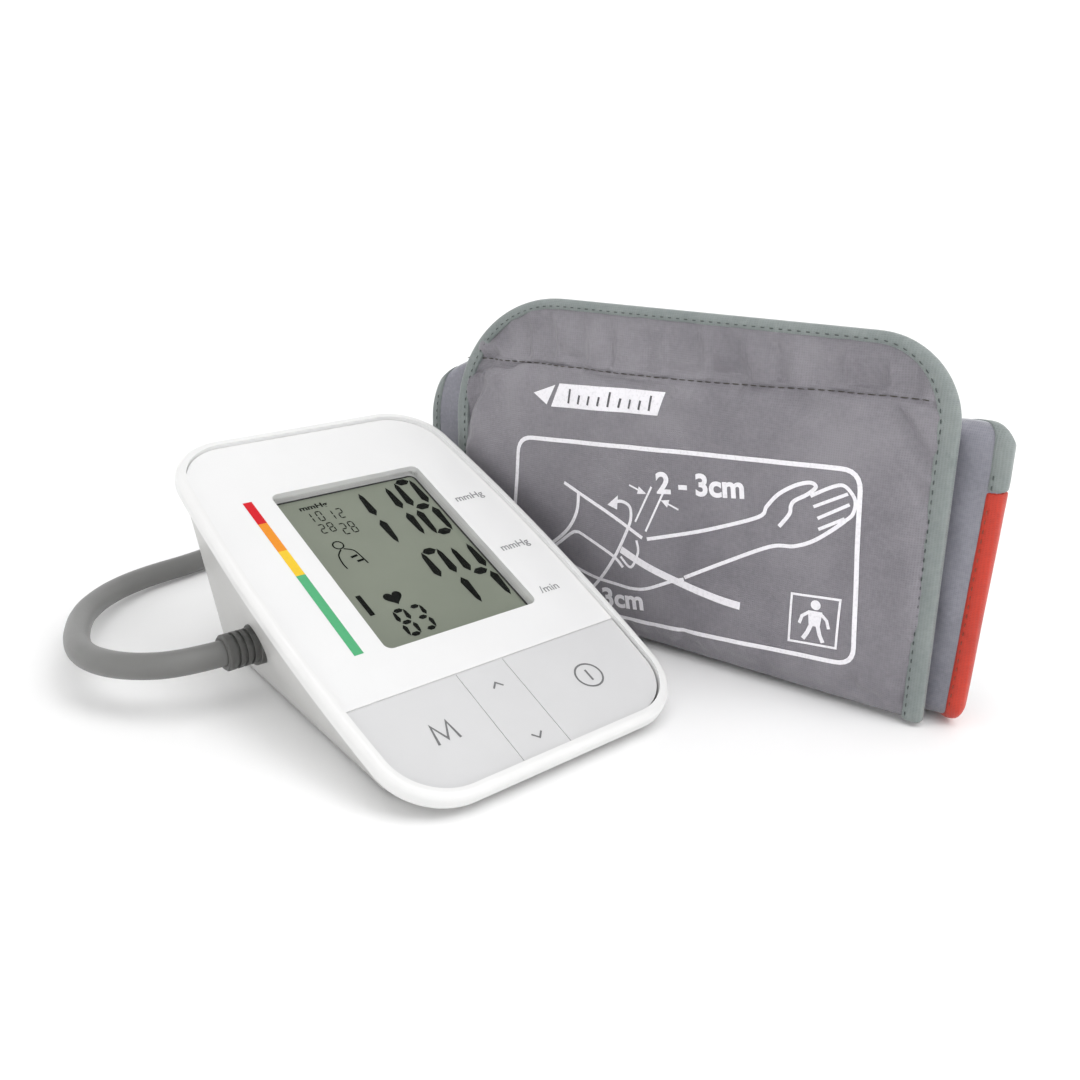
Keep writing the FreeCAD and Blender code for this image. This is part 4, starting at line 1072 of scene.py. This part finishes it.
def endTapeMesh(end, start, stop):
    # tape folded over one end of the band, between two places round it
    fit = rollFit
    half = fit["thick"] / 2 + endFit["grow"]
    wide = endFit[end] / (fit["right"] - fit["left"])
    steps = max(2, round((stop - start) * 150))
    whole = stop - start > 0.999
    mesh = bmesh.new()
    rings = []
    for number in range(steps if whole else steps + 1):
        share = start + (stop - start) * number / steps
        wave = 0.15 * noise.noise(Vector((number * 0.6, 2, 0)))
        rim = 0.7 / (fit["right"] - fit["left"])
        profile = [(wide, half - 0.35), (wide * 0.9, half + wave), (wide * 0.5, half + 0.25 + wave),
                   (0, half - 0.2), (-rim, half * 0.5), (-rim * 1.2, 0), (-rim, -half * 0.5),
                   (0, -half + 0.2), (wide * 0.5, -half - 0.25), (wide, -half + 0.35), (wide, 0)]
        points = []
        for inset, offset in profile:
            along = inset if end == "left" else 1 - inset
            points.append(mesh.verts.new(cuffPlace @ rollPoint(along, share, offset)))
        rings.append(points)
    joinRings(mesh, rings, closed=whole)
    return mesh


def shareAt(height):
    # place on the front of the band at a height
    d0, d1, z0, z1, r = roundLoop()
    total = 2 * (z1 - z0 - 2 * r) + 2 * (d1 - d0 - 2 * r) + math.tau * r
    return (height - z0 - r) / total


markerTop = shareAt(rollFit["markerHigh"])
endTapes = [
    ("leftEndTape", "left", 0.0, 1.0, edgeTape, "binding", ("left_binding",)),
    ("rightEndTape", "right", markerTop, 0.93, edgeTape, "binding", ("right_binding",)),
    ("sizeMarkerTape", "right", -0.07, markerTop + 0.002, markerTape, "marker_red", ("size_marker",)),
]
for name, end, start, stop, finish, slot, nodes in endTapes:
    tape = finishPiece(name, endTapeMesh(end, start, stop), finish, slot=slot)
    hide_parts(*nodes)
    softener = tape.modifiers.new("soften", "SUBSURF")
    softener.levels = softener.render_levels = 1


def endStitches(name, end, start, stop, finish):
    half = rollFit["thick"] / 2 + endFit["grow"] + 0.25
    inset = (endFit[end] - endFit["stitchIn"]) / (rollFit["right"] - rollFit["left"])
    count = round(abs(stop - start) * 300)
    points = []
    for number in range(count + 1):
        share = start + (stop - start) * number / count
        points.append(cuffPlace @ rollPoint(inset if end == "left" else 1 - inset, share, half))
    stitchLine(name, points, -intoCuff, finish, edgeThread)


stitchTop = shareAt(endFit["stitchTop"])
endStitches("leftEndStitches", "left", 0.0, stitchTop, tapeThread)
endStitches("rightEndStitches", "right", markerTop + 0.004, stitchTop, tapeThread)
endStitches("markerStitches", "right", 0.0, markerTop - 0.004, redThread)


# hook and loop faces between the flap and the roll
gripFit = {"hookFace": (5.62, 6.0, "hook_patch"), "loopFace": (5.02, 5.5, "loop_patch")}
gripBox = {"left": 23.2, "right": 152.8, "low": 22.6, "high": 78.2, "step": 3.2}


def gripMesh(front, rear):
    box = gripBox
    columns = round((box["right"] - box["left"]) / box["step"])
    rows = round((box["high"] - box["low"]) / box["step"])
    mesh = bmesh.new()
    points = {}
    for side, d in ((0, front), (1, rear)):
        for i in range(columns + 1):
            for j in range(rows + 1):
                u = box["left"] + (box["right"] - box["left"]) * i / columns
                z = box["low"] + (box["high"] - box["low"]) * j / rows
                edge = min(i, columns - i, j, rows - j)
                pile = 0.05 * noise.noise(Vector((u, z, d * 5)))
                inset = 0.1 if edge == 0 else 0
                depth = d + (inset if side == 0 else -inset) + pile
                points[side, i, j] = mesh.verts.new(cuffPlace @ Vector((u, depth, z)))
    for side in (0, 1):
        for i in range(columns):
            for j in range(rows):
                mesh.faces.new([points[side, i, j], points[side, i + 1, j], points[side, i + 1, j + 1],
                                points[side, i, j + 1]])
    rim = ([(i, 0) for i in range(columns)] + [(columns, j) for j in range(rows)]
           + [(i, rows) for i in range(columns, 0, -1)] + [(0, j) for j in range(rows, 0, -1)])
    for (i, j), (k, m) in zip(rim, rim[1:] + rim[:1]):
        mesh.faces.new([points[0, i, j], points[0, k, m], points[1, k, m], points[1, i, j]])
    bmesh.ops.recalc_face_normals(mesh, faces=mesh.faces[:])
    return mesh


for name, (front, rear, node) in gripFit.items():
    grip = finishPiece(name, gripMesh(front, rear), pileFinish, slot="patch")
    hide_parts(node)
print("roll, end tapes and grip faces made")

# pale floor that turns up into a pale wall all round
floorFit = {"radius": 2.4, "bend": 1.2, "high": 1.5, "sides": 96, "drop": 0.0002}


def makeFloor():
    sides = floorFit["sides"]
    mesh = bmesh.new()
    profile = [(0.05, 0)] + [(floorFit["radius"] * (0.1 + 0.9 * i / 8), 0) for i in range(9)]
    for i in range(1, 13):
        a = math.pi / 2 * i / 12
        out, up = math.sin(a), 1 - math.cos(a)
        profile.append((floorFit["radius"] + floorFit["bend"] * out, floorFit["bend"] * up))
    profile.append((floorFit["radius"] + floorFit["bend"], floorFit["bend"] + floorFit["high"]))
    rings = []
    for radius, up in profile:
        rings.append([mesh.verts.new((radius * math.cos(a), radius * math.sin(a), up - floorFit["drop"]))
                      for a in (math.tau * k / sides for k in range(sides))])
    mesh.faces.new(rings[0])
    for a, b in zip(rings, rings[1:]):
        for k in range(sides):
            n = (k + 1) % sides
            mesh.faces.new([a[k], b[k], b[n], a[n]])
    data = bpy.data.meshes.new("floor")
    mesh.to_mesh(data)
    mesh.free()
    paleFloor = mouldedFinish("pale floor", (0.96, 0.96, 0.96), (0.95, 0.95, 0.95), (0.6, 0.7))
    data.materials.append(paleFloor)
    data.shade_smooth()
    floor = bpy.data.objects.new("floor", data)
    bpy.context.collection.objects.link(floor)


makeFloor()

lightFit = {  # place, aims at, width, power
    "keyLight": ((0.35, -0.95, 1.25), (0, 0, 0.03), 0.9, 7.0),
    "fillLight": ((-0.9, -1.1, 0.7), (0, 0, 0.07), 1.0, 0.6),
    "topLight": ((-0.1, -0.25, 1.7), (0, 0, 0), 1.5, 8.5),
}
# lamps that face outwards and light the wall behind the object evenly
wallFit = {"count": 6, "out": 1.6, "high": 1.8, "aimOut": 3.3, "aimHigh": 0.3,
           "width": 0.8, "power": 17.0}
for number in range(wallFit["count"]):
    turn = math.tau * number / wallFit["count"]
    way = Vector((math.cos(turn), math.sin(turn), 0))
    lightFit[f"wallLight{number + 1}"] = (way * wallFit["out"] + Vector((0, 0, wallFit["high"])),
                                         way * wallFit["aimOut"] + Vector((0, 0, wallFit["aimHigh"])),
                                         wallFit["width"], wallFit["power"])
for name, (place, aim, width, power) in lightFit.items():
    lamp = bpy.data.lights.new(name, "AREA")
    lamp.shape = "DISK"
    lamp.size = width
    lamp.energy = power
    holder = bpy.data.objects.new(name, lamp)
    holder.location = place
    holder.rotation_euler = (Vector(aim) - Vector(place)).to_track_quat("-Z", "Y").to_euler()
    bpy.context.collection.objects.link(holder)
skyStrength = 0.52
world = bpy.data.worlds.new("studio")
world.use_nodes = True
world.node_tree.nodes["Background"].inputs["Color"].default_value = (1, 1, 1, 1)
world.node_tree.nodes["Background"].inputs["Strength"].default_value = skyStrength
bpy.context.scene.world = world
bpy.context.scene.view_settings.view_transform = "Standard"
print("floor and lights set")
